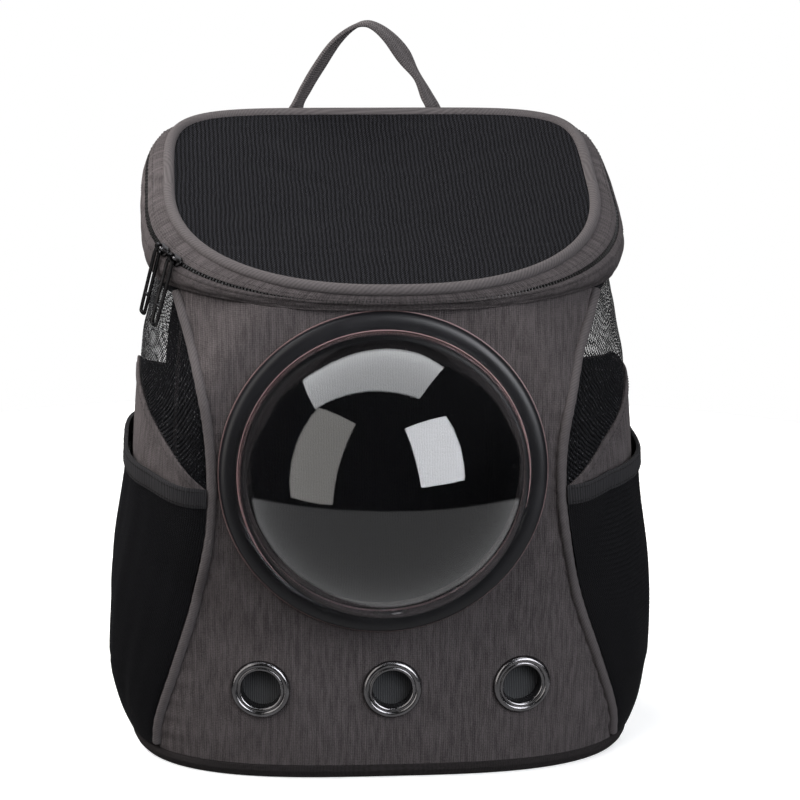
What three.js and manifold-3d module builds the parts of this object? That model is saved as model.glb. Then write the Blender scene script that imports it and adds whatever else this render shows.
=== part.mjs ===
// A bubble pet carrier backpack, standing on its base: a canvas bag with an hourglass front panel between two
// pipings, a clear dome in a black ring, three eyelets, net windows and net pockets on its sides, and a zipped
// net lid that slopes to the front. Millimetres, +Z up, -Y is the front with the dome, +X is the bag's right
// side as the front is looked at. The origin is the middle of the bounding box at floor height.
import * as THREE from "three";
import { mergeVertices } from "three/addons/utils/BufferGeometryUtils.js";
import Module from "manifold-3d";

const wasm = await Module();
wasm.setup();

// Driving dimensions of the body
const baseHalfWidth = 160;
const frontDepth = 108;
const backDepth = 88;
const baseHeight = 9;
const neckHeight = 291;
const neckRise = 6;
const panelThickness = 4;
const backThickness = 8;
const netThickness = 1.2;
const netInset = 0.5;
const seamGap = 0.3;
const pipingRadius = 3;
const pipingStandOut = 0.6;

// Driving dimensions of the collar and the lid
const rimFrontRise = 12.3;
const rimBackRise = 88.7;
const zipDropFront = 7.5;
const zipDropBack = 14;
const bandThickness = 2;
const rimRadius = 3;
const rimGroove = 1.9;
const netSag = 3;
const coilRaise = 1.2;
const tapeInset = 0.4;

// Driving dimensions of the dome, its ring and the eyelets
const domeShift = -6;
const domeTopGap = 0.8;
const domeRadius = 86;
const domeHeight = 80;
const domeWall = 2;
const domeFlange = 6;
const ringWidth = 11.2;
const ringThickness = 6.5;
const ringFlat = 14;
const ringSeat = 40;
const seatGap = 0.6;
const waistRoom = 6.8;
const eyeletSpacing = 79;
const eyeletHoleRadius = 11.8;
const eyeletOuterRadius = 18;
const eyeletBarrel = 1;
const eyeletRise = 3;
const eyeletRoll = 2;
const eyeletFlat = 6;
const eyeletSeat = 10;

// Driving dimensions of the side pockets
const pocketDepth = 9;
const pocketLift = 1.52;
const pocketMouth = 3.6;
const pocketInset = 3.2;
const pocketFootGap = 1.2;
const pocketFootLift = 0.9;
const pocketBindingHeight = 12;
const pocketBindingThickness = 2.6;
const pocketBindingInset = 0.6;

// Driving dimensions of the carry handle, the shoulder straps and their buckles
const handleSpan = 88;
const handleRise = 55;
const handleShift = -4;
const handleWidth = 18;
const handleThickness = 3;
const strapWidth = 58;
const strapThickness = 9;
const strapBow = 33;
const webbingWidth = 25;
const webbingThickness = 1.8;
const webbingLift = 3.4;
const webbingHeel = 14;
const webbingOnStrap = 34;
const buckleBar = 3.5;
const buckleSlot = 7;
const buckleThickness = 2.6;
const buckleRoom = 1;
const buckleHang = 3;

// Driving dimensions of the zip sliders and their pulls
const sliderLength = 11;
const sliderWidth = 7.5;
const sliderLift = 0.4;
const sliderThickness = 2.2;
const bailRadius = 0.8;
const bailRise = 3.6;
const bailSpan = 6.6;
const bailCorner = 1;
const pullLength = 46;
const pullWidth = 7;
const pullThickness = 1.6;
const pullWire = 1.6;
const pullCorner = 2.45;
const pullBarPlace = 31.3;
const pullEyeWidth = 2.4;
const pullEyeGap = 0.4;
const pullEyeWall = 1.1;
const pullLean = 5;
const sliderAngles = [-155, -148];

// Sections of the body from the base to the neck. height is a share of the way up, width is a share of the base
// half width, seam is where the front seams are between the waist beside the dome's ring (0) and that half width
// (1), sway is how far they follow the dome to a side, as a share of its shift, front and back are shares of the
// two depths, and the powers square the corners.
const bodySections = [
  { height: 0.0, width: 0.985, front: 0.985, back: 0.985, seam: 0.671, sway: 0, frontPower: 3.0, backPower: 4.2 },
  { height: 0.07, width: 1.0, front: 1.0, back: 1.0, seam: 0.643, sway: 0, frontPower: 3.0, backPower: 4.2 },
  { height: 0.2, width: 1.0, front: 1.0, back: 1.0, seam: 0.443, sway: 0.13, frontPower: 3.1, backPower: 4.2 },
  { height: 0.36, width: 0.99, front: 0.985, back: 1.0, seam: 0.186, sway: 0.37, frontPower: 3.3, backPower: 4.2 },
  { height: 0.52, width: 0.975, front: 0.968, back: 1.0, seam: 0.029, sway: 0.53, frontPower: 3.5, backPower: 4.2 },
  { height: 0.68, width: 0.96, front: 0.952, back: 1.0, seam: 0, sway: 0.64, frontPower: 3.4, backPower: 4.2 },
  { height: 0.84, width: 0.93, front: 0.938, back: 1.0, seam: 0.129, sway: 0.48, frontPower: 3.0, backPower: 4.1 },
  { height: 1.0, width: 0.87, front: 0.93, back: 1.0, seam: 0.386, sway: 0.21, frontPower: 2.7, backPower: 4.0 },
];

// Loops of the collar and lid from the neck seam to the middle of the rim. width, front and back are shares of
// the neck's sizes. band is a share of the way from the neck up to the zip, and cap from the zip to the rim.
const collarSections = [
  { height: 0.0, width: 1.01, front: 1.02, back: 1.0, band: 0.0, cap: 0.0, frontPower: 2.7, backPower: 4.4 },
  { height: 0.18, width: 1.045, front: 1.028, back: 1.015, band: 0.28, cap: 0.0, frontPower: 2.7, backPower: 5.0 },
  { height: 0.36, width: 1.062, front: 1.034, back: 1.02, band: 0.6, cap: 0.0, frontPower: 2.65, backPower: 5.5 },
  { height: 0.5, width: 1.055, front: 1.038, back: 1.01, band: 0.84, cap: 0.0, frontPower: 2.6, backPower: 5.8 },
  { height: 0.62, width: 1.035, front: 1.041, back: 1.0, band: 0.97, cap: 0.08, frontPower: 2.5, backPower: 6.0 },
  { height: 0.74, width: 1.01, front: 1.042, back: 0.985, band: 1.0, cap: 0.4, frontPower: 2.45, backPower: 6.0 },
  { height: 0.88, width: 0.972, front: 1.041, back: 0.95, band: 1.0, cap: 0.82, frontPower: 2.4, backPower: 5.8 },
  { height: 1.0, width: 0.936, front: 1.036, back: 0.91, band: 1.0, cap: 1.0, frontPower: 2.35, backPower: 5.6 },
];
const zipLowerShare = 0.59;
const zipUpperShare = 0.7;
const zipEndAngle = 45;
const zipGap = 1.2;
const hingeGapAngle = 0.573;

// The ring's rounded top, from its inner to its outer edge: across is a share of its width, up of its thickness
const ringEdges = [
  { across: 0.0, up: 0.8 },
  { across: 0.2, up: 1.0 },
  { across: 0.65, up: 1.0 },
  { across: 1.0, up: 0.5 },
];

// Upper edges on a side, from the front seam (height 0) to the back seam (1), as shares of the way up: of the
// pocket, and of the canvas, where the net window begins.
const sideEdges = [
  { height: 0.0, pocket: 0.612, window: 0.6 },
  { height: 0.25, pocket: 0.622, window: 0.71 },
  { height: 0.5, pocket: 0.63, window: 0.785 },
  { height: 0.75, pocket: 0.63, window: 0.75 },
  { height: 1.0, pocket: 0.63, window: 0.72 },
];
const backSeamShare = 0.86;
const eyeletHeightShare = 0.576;

// The carry handle's middle line: along is a share of half its span, up of its rise over the rim, behind is how
// many of its widths it is behind the rim, and turn is its twist: 90 is flat to the back
const handleRoute = [
  { along: -1.02, up: -0.32, behind: 0.42, turn: 90 },
  { along: -1.02, up: -0.18, behind: 0.5, turn: 80 },
  { along: -1.0, up: 0.02, behind: 0.61, turn: 30 },
  { along: -0.87, up: 0.24, behind: 0.61, turn: 28 },
  { along: -0.68, up: 0.5, behind: 0.55, turn: 30 },
  { along: -0.42, up: 0.8, behind: 0.5, turn: 26 },
  { along: -0.14, up: 0.98, behind: 0.5, turn: 18 },
  { along: 0.06, up: 1.0, behind: 0.5, turn: 16 },
  { along: 0.3, up: 0.88, behind: 0.5, turn: 26 },
  { along: 0.56, up: 0.64, behind: 0.55, turn: 34 },
  { along: 0.76, up: 0.4, behind: 0.61, turn: 14 },
  { along: 0.9, up: 0.18, behind: 0.61, turn: 24 },
  { along: 1.0, up: 0.02, behind: 0.61, turn: 32 },
  { along: 1.02, up: -0.18, behind: 0.5, turn: 80 },
  { along: 1.02, up: -0.32, behind: 0.42, turn: 90 },
];

// A shoulder strap's middle line from its top to its end: x is a share of the base half width, up of the neck's
// height, and out of the strap's bow behind the back panel
const strapRoute = [
  { x: 0.3, out: 0.0, up: 0.986 },
  { x: 0.3, out: 0.0, up: 0.928 },
  { x: 0.32, out: 0.33, up: 0.838 },
  { x: 0.36, out: 0.82, up: 0.715 },
  { x: 0.41, out: 1.0, up: 0.591 },
  { x: 0.46, out: 0.91, up: 0.474 },
  { x: 0.51, out: 0.64, up: 0.364 },
];
const webbingFootShares = { x: 0.675, up: 0.103 };
// Where the webbing's stations are in its buckle, in sixths of the bars' spacing from the middle bar
const weaveSteps = [-16, -11, -6, -4.5, -3, -1.5, 0, 1.5, 3, 4.5, 6];

const degrees = Math.PI / 180;
const FRONT = -90 * degrees;
const fullTurn = 2 * Math.PI;

const materials = {
  canvas: new THREE.MeshStandardMaterial({ color: 0x57504f, roughness: 0.95, metalness: 0 }),
  piping: new THREE.MeshStandardMaterial({ color: 0x5e5857, roughness: 0.9, metalness: 0 }),
  net: new THREE.MeshStandardMaterial({ color: 0x121214, roughness: 0.9, metalness: 0 }),
  binding: new THREE.MeshStandardMaterial({ color: 0x242426, roughness: 0.9, metalness: 0 }),
  zip: new THREE.MeshStandardMaterial({ color: 0x1c1a1a, roughness: 0.8, metalness: 0 }),
  ring: new THREE.MeshStandardMaterial({ color: 0x1b1c1f, roughness: 0.4, metalness: 0 }),
  clear: new THREE.MeshStandardMaterial({ color: 0x8c8f92, roughness: 0.05, metalness: 0 }),
  gunmetal: new THREE.MeshStandardMaterial({ color: 0x6c6c70, roughness: 0.25, metalness: 1 }),
  webbing: new THREE.MeshStandardMaterial({ color: 0x55504f, roughness: 0.9, metalness: 0 }),
  buckle: new THREE.MeshStandardMaterial({ color: 0x151515, roughness: 0.5, metalness: 0 }),
};

const carrier = new THREE.Group();

// Adds a named piece, with its faces pointing out.
function add(name, geometry, material) {
  const mesh = new THREE.Mesh(geometry, material);
  mesh.name = name;
  carrier.add(mesh);
  return mesh;
}

// The value of a column where the rows' height is at the share, on a smooth curve through the rows.
function along(rows, column, share) {
  const last = rows.length - 1;
  let i = 0;
  while (i < last - 1 && rows[i + 1].height < share) i += 1;
  const slope = (k) => {
    const a = rows[Math.max(k - 1, 0)];
    const b = rows[Math.min(k + 1, last)];
    return (b[column] - a[column]) / (b.height - a.height);
  };
  const step = rows[i + 1].height - rows[i].height;
  const t = (share - rows[i].height) / step;
  const rise = rows[i + 1][column] - rows[i][column];
  const m0 = slope(i) * step;
  const m1 = slope(i + 1) * step;
  return rows[i][column] + t * (m0 + t * (3 * rise - 2 * m0 - m1 + t * (m0 + m1 - 2 * rise)));
}

const lerp = THREE.MathUtils.lerp;

// Joins points and triangles into one closed geometry and turns its faces out.
function closed(points, triangles) {
  const raw = new THREE.BufferGeometry().setFromPoints(points);
  raw.setIndex(triangles);
  return outward(raw);
}

// The geometry with shared corners, without triangles of no area, and with its faces pointing out.
function outward(geometry) {
  const bare = geometry.clone();
  for (const name of Object.keys(bare.attributes)) {
    if (name !== "position") bare.deleteAttribute(name);
  }
  bare.clearGroups();
  const merged = mergeVertices(bare, 1e-3);
  const index = Array.from(merged.index.array);
  const kept = [];
  for (let i = 0; i < index.length; i += 3) {
    const [a, b, c] = index.slice(i, i + 3);
    if (a !== b && b !== c && c !== a) kept.push(a, b, c);
  }
  const place = merged.getAttribute("position");
  const corner = (i) => new THREE.Vector3().fromBufferAttribute(place, i);
  let volume = 0;
  for (let i = 0; i < kept.length; i += 3) {
    volume += corner(kept[i]).dot(corner(kept[i + 1]).cross(corner(kept[i + 2])));
  }
  if (volume < 0) kept.reverse();
  merged.setIndex(kept);
  return merged;
}

// A closed geometry as a solid that can be cut or joined, and back.
function solidOf(geometry) {
  const ready = outward(geometry);
  return new wasm.Manifold(
    new wasm.Mesh({
      numProp: 3,
      vertProperties: ready.getAttribute("position").array,
      triVerts: new Uint32Array(ready.index.array),
    }),
  );
}

function geometryOf(solid) {
  const mesh = solid.getMesh();
  const geometry = new THREE.BufferGeometry();
  geometry.setAttribute("position", new THREE.BufferAttribute(mesh.vertProperties, 3));
  geometry.setIndex(new THREE.BufferAttribute(mesh.triVerts, 1));
  return geometry;
}

// The normal of a surface position(s, t), with s to the right and t up as it is seen from outside.
function normalAt(position, s, t) {
  const step = 1e-3;
  const low = (k) => Math.max(k - step, 0);
  const high = (k) => Math.min(k + step, 1);
  const right = position(high(s), t).sub(position(low(s), t));
  const up = position(s, high(t)).sub(position(s, low(t)));
  return right.cross(up).normalize();
}

// A sheet of cloth over a surface position(s, t): outer and inner are its two faces' heights over the surface,
// as numbers or as functions of s and t. A ring closes on itself along s.
function sheet(position, columns, rows, outer, inner, ring = false) {
  const value = (height, s, t) => (typeof height === "function" ? height(s, t) : height);
  const points = [];
  const count = ring ? columns : columns + 1;
  for (const face of [outer, inner]) {
    for (let j = 0; j <= rows; j += 1) {
      for (let i = 0; i < count; i += 1) {
        const s = i / columns;
        const t = j / rows;
        const turned = ring ? (k, l) => position(s + (k - s), l) : position;
        const normal = normalAt(turned, s, t);
        points.push(position(s, t).addScaledVector(normal, value(face, s, t)));
      }
    }
  }
  const half = count * (rows + 1);
  const at = (face, i, j) => face * half + j * count + (i % count);
  const triangles = [];
  const quad = (a, b, c, d) => triangles.push(a, b, c, a, c, d);
  for (let j = 0; j < rows; j += 1) {
    for (let i = 0; i < columns; i += 1) {
      quad(at(0, i, j), at(0, i + 1, j), at(0, i + 1, j + 1), at(0, i, j + 1));
      quad(at(1, i, j), at(1, i, j + 1), at(1, i + 1, j + 1), at(1, i + 1, j));
    }
  }
  for (let i = 0; i < columns; i += 1) {
    quad(at(1, i, 0), at(1, i + 1, 0), at(0, i + 1, 0), at(0, i, 0));
    quad(at(0, i, rows), at(0, i + 1, rows), at(1, i + 1, rows), at(1, i, rows));
  }
  if (!ring) {
    for (let j = 0; j < rows; j += 1) {
      quad(at(0, 0, j), at(0, 0, j + 1), at(1, 0, j + 1), at(1, 0, j));
      quad(at(0, columns, j), at(1, columns, j), at(1, columns, j + 1), at(0, columns, j + 1));
    }
  }
  return closed(points, triangles);
}

// A solid through rings of points that have the same number of points each. Its ends are closed by fans, unless
// the rings join end to end.
function loft(rings, joined = false) {
  const count = rings[0].length;
  const points = rings.flat();
  const triangles = [];
  const steps = joined ? rings.length : rings.length - 1;
  for (let j = 0; j < steps; j += 1) {
    const next = (j + 1) % rings.length;
    for (let i = 0; i < count; i += 1) {
      const a = j * count + i;
      const b = j * count + ((i + 1) % count);
      const c = next * count + ((i + 1) % count);
      const d = next * count + i;
      triangles.push(a, b, c, a, c, d);
    }
  }
  if (!joined) {
    const middle = (ring) => ring.reduce((sum, p) => sum.add(p), new THREE.Vector3()).divideScalar(count);
    const first = points.push(middle(rings[0])) - 1;
    const last = points.push(middle(rings[rings.length - 1])) - 1;
    const start = (rings.length - 1) * count;
    for (let i = 0; i < count; i += 1) {
      const next = (i + 1) % count;
      triangles.push(first, next, i, last, start + i, start + next);
    }
  }
  return closed(points, triangles);
}

const signedPower = (value, power) => Math.sign(value) * Math.abs(value) ** power;

// A point of a bowed rectangle: wide by its half width, and deep by front and back.
function outlinePoint(loop, angle) {
  const c = Math.cos(angle);
  const s = Math.sin(angle);
  const power = 2 / (s < 0 ? loop.frontPower : loop.backPower);
  return {
    x: loop.halfWidth * signedPower(c, power),
    y: (s < 0 ? loop.front : loop.back) * signedPower(s, power),
  };
}

// The angle at which that outline is at a distance x from the middle, on its front or on its back.
function outlineAngle(loop, x, side) {
  const power = (side === "front" ? loop.frontPower : loop.backPower) / 2;
  const c = signedPower(THREE.MathUtils.clamp(x / loop.halfWidth, -1, 1), power);
  return side === "front" ? -Math.acos(c) : Math.acos(c);
}

function bodyLoop(share) {
  return {
    halfWidth: along(bodySections, "width", share) * baseHalfWidth,
    front: along(bodySections, "front", share) * frontDepth,
    back: along(bodySections, "back", share) * backDepth,
    frontPower: along(bodySections, "frontPower", share),
    backPower: along(bodySections, "backPower", share),
  };
}

// The neck seam is lowest in the middle of the front and of the back.
const neckLine = (x) => neckHeight + neckRise * THREE.MathUtils.smoothstep(Math.abs(x) / baseHalfWidth, 0.25, 0.85);
const bodyHeight = (share, x) => lerp(baseHeight + seamGap, neckLine(x), share);

const heightShare = (height) => (height - baseHeight - seamGap) / (neckHeight - baseHeight - seamGap);

// The body's surface before anything stiff is set in it
function softPoint(angle, share) {
  const { x, y } = outlinePoint(bodyLoop(share), angle);
  return new THREE.Vector3(x, y, bodyHeight(share, x));
}

// A seat is a flat in the front, round a piece of hard plastic or metal: flat out to hold, then fading to reach
function seat(x, height, span, hold, reach) {
  const on = (dx, dz) => {
    const share = heightShare(height + dz);
    return softPoint(outlineAngle(bodyLoop(share), x + dx, "front"), share);
  };
  const place = new THREE.Vector3(x, (on(-span, 0).y + on(span, 0).y) / 2, height);
  const slopeX = (on(span, 0).y - on(-span, 0).y) / (2 * span);
  const slopeZ = (on(0, span).y - on(0, -span).y) / (2 * span);
  const out = new THREE.Vector3(slopeX, -1, slopeZ).normalize();
  const turn = new THREE.Quaternion().setFromUnitVectors(new THREE.Vector3(0, 0, 1), out);
  return { place, slopeX, slopeZ, turn, hold, reach };
}

const ringOuterRadius = domeRadius + ringWidth;
const domeCentreHeight = neckHeight - domeTopGap - ringOuterRadius;
const domeFrame = seat(
  domeShift,
  domeCentreHeight,
  domeRadius / 2,
  ringOuterRadius + ringFlat,
  ringOuterRadius + ringSeat,
);
const eyeletHeight = lerp(baseHeight, domeCentreHeight - ringOuterRadius, eyeletHeightShare);
const eyeletHold = eyeletOuterRadius + eyeletFlat;
const eyeletReach = eyeletOuterRadius + eyeletSeat;
const eyeletFrames = Object.fromEntries(
  [["left", -1], ["middle", 0], ["right", 1]].map(([word, side]) => [
    `eyelet_${word}`,
    seat(side * eyeletSpacing, eyeletHeight, eyeletOuterRadius / 2, eyeletHold, eyeletReach),
  ]),
);

function flattened(point) {
  if (point.y > 0) return point;
  for (const { place, slopeX, slopeZ, hold, reach } of [domeFrame, ...Object.values(eyeletFrames)]) {
    const dx = point.x - place.x;
    const dz = point.z - place.z;
    const held = 1 - THREE.MathUtils.smoothstep(Math.hypot(dx, dz), hold, reach);
    point.y = lerp(point.y, place.y + slopeX * dx + slopeZ * dz, held);
  }
  return point;
}

const bodyPoint = (angle, share) => flattened(softPoint(angle, share));

const waistHalfWidth = ringOuterRadius + waistRoom;

// The angle of the front seam (side -1 is the left one) or of the back seam, moved by a distance along the
// outline: a positive distance runs with the angle.
function seamAngle(share, side, place, distance) {
  const loop = bodyLoop(share);
  const reach = lerp(waistHalfWidth, baseHalfWidth, along(bodySections, "seam", share));
  const sway = along(bodySections, "sway", share) * domeShift;
  const x = place === "front" ? side * reach + sway : side * backSeamShare * loop.halfWidth;
  const angle = outlineAngle(loop, x, place);
  const step = 0.01;
  const a = outlinePoint(loop, angle - step);
  const b = outlinePoint(loop, angle + step);
  return angle + (distance * 2 * step) / Math.hypot(b.x - a.x, b.y - a.y);
}

const pipingRoom = 1.25 * pipingRadius + seamGap;

// Front panel, from seam to seam, with the round hole behind the dome and the eyelets' holes
const panelAngles = (share) => [
  seamAngle(share, -1, "front", pipingRoom),
  seamAngle(share, 1, "front", -pipingRoom),
];

function frontPosition(s, t) {
  const [from, to] = panelAngles(t);
  const loop = bodyLoop(t);
  const x = lerp(outlinePoint(loop, from).x, outlinePoint(loop, to).x, s);
  return bodyPoint(outlineAngle(loop, x, "front"), t);
}

// A cylinder along a frame's axis, to cut a round hole.
function plug(frame, radius, length, sides) {
  const cylinder = new THREE.CylinderGeometry(radius, radius, length, sides);
  cylinder.rotateX(Math.PI / 2);
  cylinder.applyQuaternion(frame.turn);
  cylinder.translate(frame.place.x, frame.place.y, frame.place.z);
  return solidOf(cylinder);
}

const panelHoleRadius = domeRadius - 2 * domeWall;
const plugLength = 12 * panelThickness;
let frontPanel = solidOf(sheet(frontPosition, 18, 15, 0, -panelThickness));
frontPanel = frontPanel.subtract(plug(domeFrame, panelHoleRadius, plugLength, 40));
for (const frame of Object.values(eyeletFrames)) {
  frontPanel = frontPanel.subtract(plug(frame, eyeletHoleRadius + eyeletBarrel + seamGap, plugLength, 20));
}
add("front_panel", geometryOf(frontPanel), materials.canvas);

// Side panels of canvas behind the pockets, and the net windows over them
function sidePosition(side, low, high, inset = 0) {
  return (s, t) => {
    const fromFront = side > 0 ? s : 1 - s;
    const share = lerp(low(fromFront), high(fromFront), t);
    const front = seamAngle(share, side, "front", side * (pipingRoom + inset));
    const back = seamAngle(share, side, "back", -side * (seamGap + inset));
    const turnedBack = side > 0 ? back : back - fullTurn;
    return bodyPoint(lerp(front, turnedBack, fromFront), share);
  };
}

const windowEdge = (fromFront) => along(sideEdges, "window", fromFront);
const pocketEdge = (fromFront) => along(sideEdges, "pocket", fromFront);
const shareGap = seamGap / neckHeight;

for (const [word, side] of [["left", -1], ["right", 1]]) {
  const panel = sidePosition(side, () => 0, (k) => windowEdge(k) - shareGap);
  add(`side_panel_${word}`, sheet(panel, 10, 7, 0, -panelThickness), materials.canvas);
  const window = sidePosition(side, (k) => windowEdge(k) + 2 * shareGap, () => 1);
  add(`side_net_${word}`, sheet(window, 10, 4, -netInset, -netInset - netThickness), materials.net);
}

// Back panel, padded, against the wearer's back
function backPosition(s, t) {
  const from = seamAngle(t, 1, "back", seamGap);
  const to = seamAngle(t, -1, "back", -seamGap);
  return bodyPoint(lerp(from, to, s), t);
}
add("back_panel", sheet(backPosition, 10, 6, 0, -backThickness), materials.canvas);

// Base: one board under all the walls, with a rounded lower edge. height and inset are shares of its height.
const baseSteps = [
  { height: 0, inset: 0.55 },
  { height: 0.25, inset: 0.13 },
  { height: 0.6, inset: -0.07 },
  { height: 1, inset: 0 },
];
const aroundSteps = 48;
const aroundAngles = Array.from({ length: aroundSteps }, (_, i) => (fullTurn * i) / aroundSteps);
const baseRings = baseSteps.map(({ height, inset }) =>
  aroundAngles.map((angle) => {
    const foot = outlinePoint(bodyLoop(0), angle);
    const shrink = 1 - (inset * baseHeight) / Math.hypot(foot.x, foot.y);
    return new THREE.Vector3(foot.x * shrink, foot.y * shrink, height * baseHeight);
  }),
);
add("base", loft(baseRings), materials.canvas);

// Piping along the two seams of the front panel
function polygon(radius, sides) {
  return new THREE.Shape(
    Array.from({ length: sides }, (_, i) => {
      const angle = (fullTurn * (i + 0.5)) / sides;
      return new THREE.Vector2(radius * Math.cos(angle), radius * Math.sin(angle));
    }),
  );
}

const pipingEnd = (2 * pipingRadius) / neckHeight;
for (const [word, side] of [["left", -1], ["right", 1]]) {
  const route = [];
  for (let i = 0; i <= 20; i += 1) {
    const share = lerp(pipingEnd, 1 - pipingEnd, i / 20);
    const seam = (distance) => bodyPoint(seamAngle(share, side, "front", distance), share);
    const out = seam(1).sub(seam(-1)).cross(new THREE.Vector3(0, 0, 1)).normalize();
    route.push(seam(0).addScaledVector(out, pipingStandOut));
  }
  const curve = new THREE.CatmullRomCurve3(route);
  const tube = new THREE.ExtrudeGeometry(polygon(pipingRadius, 6), {
    extrudePath: curve,
    steps: 24,
    bevelEnabled: false,
  });
  add(`piping_${word}`, outward(tube), materials.piping);
}

// The collar and lid: a surface round the bag from the neck seam to the rim
const neck = bodyLoop(1);

function collarLoop(share) {
  return {
    halfWidth: along(collarSections, "width", share) * neck.halfWidth,
    front: along(collarSections, "front", share) * neck.front,
    back: along(collarSections, "back", share) * neck.back,
    frontPower: along(collarSections, "frontPower", share),
    backPower: along(collarSections, "backPower", share),
  };
}

const rimLoop = collarLoop(1);

function rimLine(y) {
  const fromFront = (y + rimLoop.front) / (rimLoop.front + rimLoop.back);
  return neckHeight + lerp(rimFrontRise, rimBackRise, fromFront);
}

function collarPoint(angle, share) {
  const loop = collarLoop(share);
  const { x, y } = outlinePoint(loop, angle);
  const fromFront = (y + loop.front) / (loop.front + loop.back);
  const drop = lerp(zipDropFront, zipDropBack, fromFront);
  const band = along(collarSections, "band", share);
  const cap = along(collarSections, "cap", share);
  const foot = neckLine(x) + seamGap;
  return new THREE.Vector3(x, y, foot + band * (rimLine(y) - drop - foot) + cap * drop);
}

// The share at a real distance from another share, along the collar's surface: up if way is 1, down if -1
function shareAt(angle, share, distance, way) {
  const start = collarPoint(angle, share);
  const halvings = 14;
  let near = 0;
  let far = 0.4;
  for (let i = 0; i < halvings; i += 1) {
    const half = (near + far) / 2;
    if (collarPoint(angle, share + way * half).distanceTo(start) < distance) near = half;
    else far = half;
  }
  return share + way * far;
}

// The collar between two shares of the way from neck to rim, with a real gap to each
function collarRun(low, lowGap, high, highGap, from, to) {
  return (s, t) => {
    const angle = lerp(from, to, s);
    const foot = lowGap ? shareAt(angle, low, lowGap, 1) : low;
    const head = highGap ? shareAt(angle, high, highGap, -1) : high;
    return collarPoint(angle, lerp(foot, head, t));
  };
}

const wholeTurn = [FRONT, FRONT + fullTurn];
const collarBand = collarRun(0, 0, zipLowerShare, zipGap, ...wholeTurn);
add("collar", sheet(collarBand, aroundSteps, 3, 0, -bandThickness, true), materials.canvas);
const lidBand = collarRun(zipUpperShare, zipGap, 1, rimRadius + rimGroove, ...wholeTurn);
add("lid_band", sheet(lidBand, aroundSteps, 1, 0, -bandThickness, true), materials.canvas);

// Zip: a tape with a raised coil from one back corner round the front to the other, and a cloth hinge behind
const zipStart = (zipEndAngle - 270) * degrees;
const zipEnd = (90 - zipEndAngle) * degrees;
const onEdge = (t) => t === 0 || t === 1;
const coilHeight = (s, t) => (onEdge(t) ? -tapeInset : coilRaise);
const zipTape = collarRun(zipLowerShare, 0, zipUpperShare, 0, zipStart, zipEnd);
add("zip", sheet(zipTape, 36, 3, coilHeight, -tapeInset - netThickness), materials.zip);
const hingeStart = zipEnd + hingeGapAngle * degrees;
const hingeEnd = fullTurn + zipStart - hingeGapAngle * degrees;
const hinge = collarRun(zipLowerShare, 0, zipUpperShare, 0, hingeStart, hingeEnd);
add("lid_hinge", sheet(hinge, 12, 1, 0, -bandThickness), materials.canvas);

// Rim: a round binding round the lid's net
function rimFrame(angle) {
  const centre = collarPoint(angle, 1);
  const ahead = collarPoint(angle + 0.01, 1).sub(collarPoint(angle - 0.01, 1)).normalize();
  const out = ahead.clone().cross(new THREE.Vector3(0, 0, 1)).normalize();
  return { centre, out, up: out.clone().cross(ahead).normalize() };
}

const rimRings = aroundAngles.map((angle) => {
  const { centre, out, up } = rimFrame(angle);
  return Array.from({ length: 6 }, (_, k) => {
    const turn = (fullTurn * k) / 6;
    const place = centre.clone().addScaledVector(out, rimRadius * Math.cos(turn));
    return place.addScaledVector(up, rimRadius * Math.sin(turn));
  });
});
add("lid_rim", loft(rimRings, true), materials.piping);

// Net of the lid: a sheet inside the rim that sags a little
const netEdge = (angle) => {
  const { centre, out } = rimFrame(angle);
  return centre.addScaledVector(out, -rimRadius - 2 * seamGap);
};
const netMiddle = netEdge(FRONT).lerp(netEdge(-FRONT), 0.5);
const netShares = [0, 0.5, 1];
const netRing = (share, height) =>
  aroundAngles.map((angle) => {
    const place = netMiddle.clone().lerp(netEdge(angle), share);
    place.z += height - netSag * (1 - share * share);
    return place;
  });
const netRings = [
  ...netShares.map((share) => netRing(share, netThickness / 2)),
  ...netShares.toReversed().map((share) => netRing(share, -netThickness / 2)),
];
add("lid_net", loft(netRings), materials.net);

// Turned pieces: a profile of [radius, height] points, turned round a frame's axis
function turned(profile, frame, sides) {
  const lathe = new THREE.LatheGeometry(profile.map(([radius, height]) => new THREE.Vector2(radius, height)), sides);
  lathe.rotateX(Math.PI / 2);
  lathe.applyQuaternion(frame.turn);
  lathe.translate(frame.place.x, frame.place.y, frame.place.z);
  return outward(lathe);
}

// Dome: a clear shell whose flange is held under the ring
const domeSteps = 6;
const arc = (radius, height, lift) =>
  Array.from({ length: domeSteps + 1 }, (_, i) => {
    const angle = (90 * i * degrees) / domeSteps;
    return [radius * Math.sin(angle), lift + height * Math.cos(angle)];
  });
const flangeTop = seatGap + domeWall;
const domeProfile = [
  ...arc(domeRadius, domeHeight, flangeTop),
  [domeRadius + domeFlange, flangeTop],
  [domeRadius + domeFlange, seatGap],
  [domeRadius - domeWall, seatGap],
  ...arc(domeRadius - domeWall, domeHeight - domeWall, flangeTop).toReversed(),
];
add("dome", turned(domeProfile, domeFrame, 32), materials.clear);

const ringInnerRadius = domeRadius + seamGap;
const ringStep = domeRadius + domeFlange + seamGap;
const ringCrown = ringEdges.map(({ across, up }) => [lerp(ringInnerRadius, ringOuterRadius, across), up * ringThickness]);
const ringProfile = [
  [ringInnerRadius, flangeTop + seamGap],
  ...ringCrown,
  [ringOuterRadius, seatGap],
  [ringStep, seatGap],
  [ringStep, flangeTop + seamGap],
  [ringInnerRadius, flangeTop + seamGap],
];
add("dome_ring", turned(ringProfile, domeFrame, 32), materials.ring);

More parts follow.
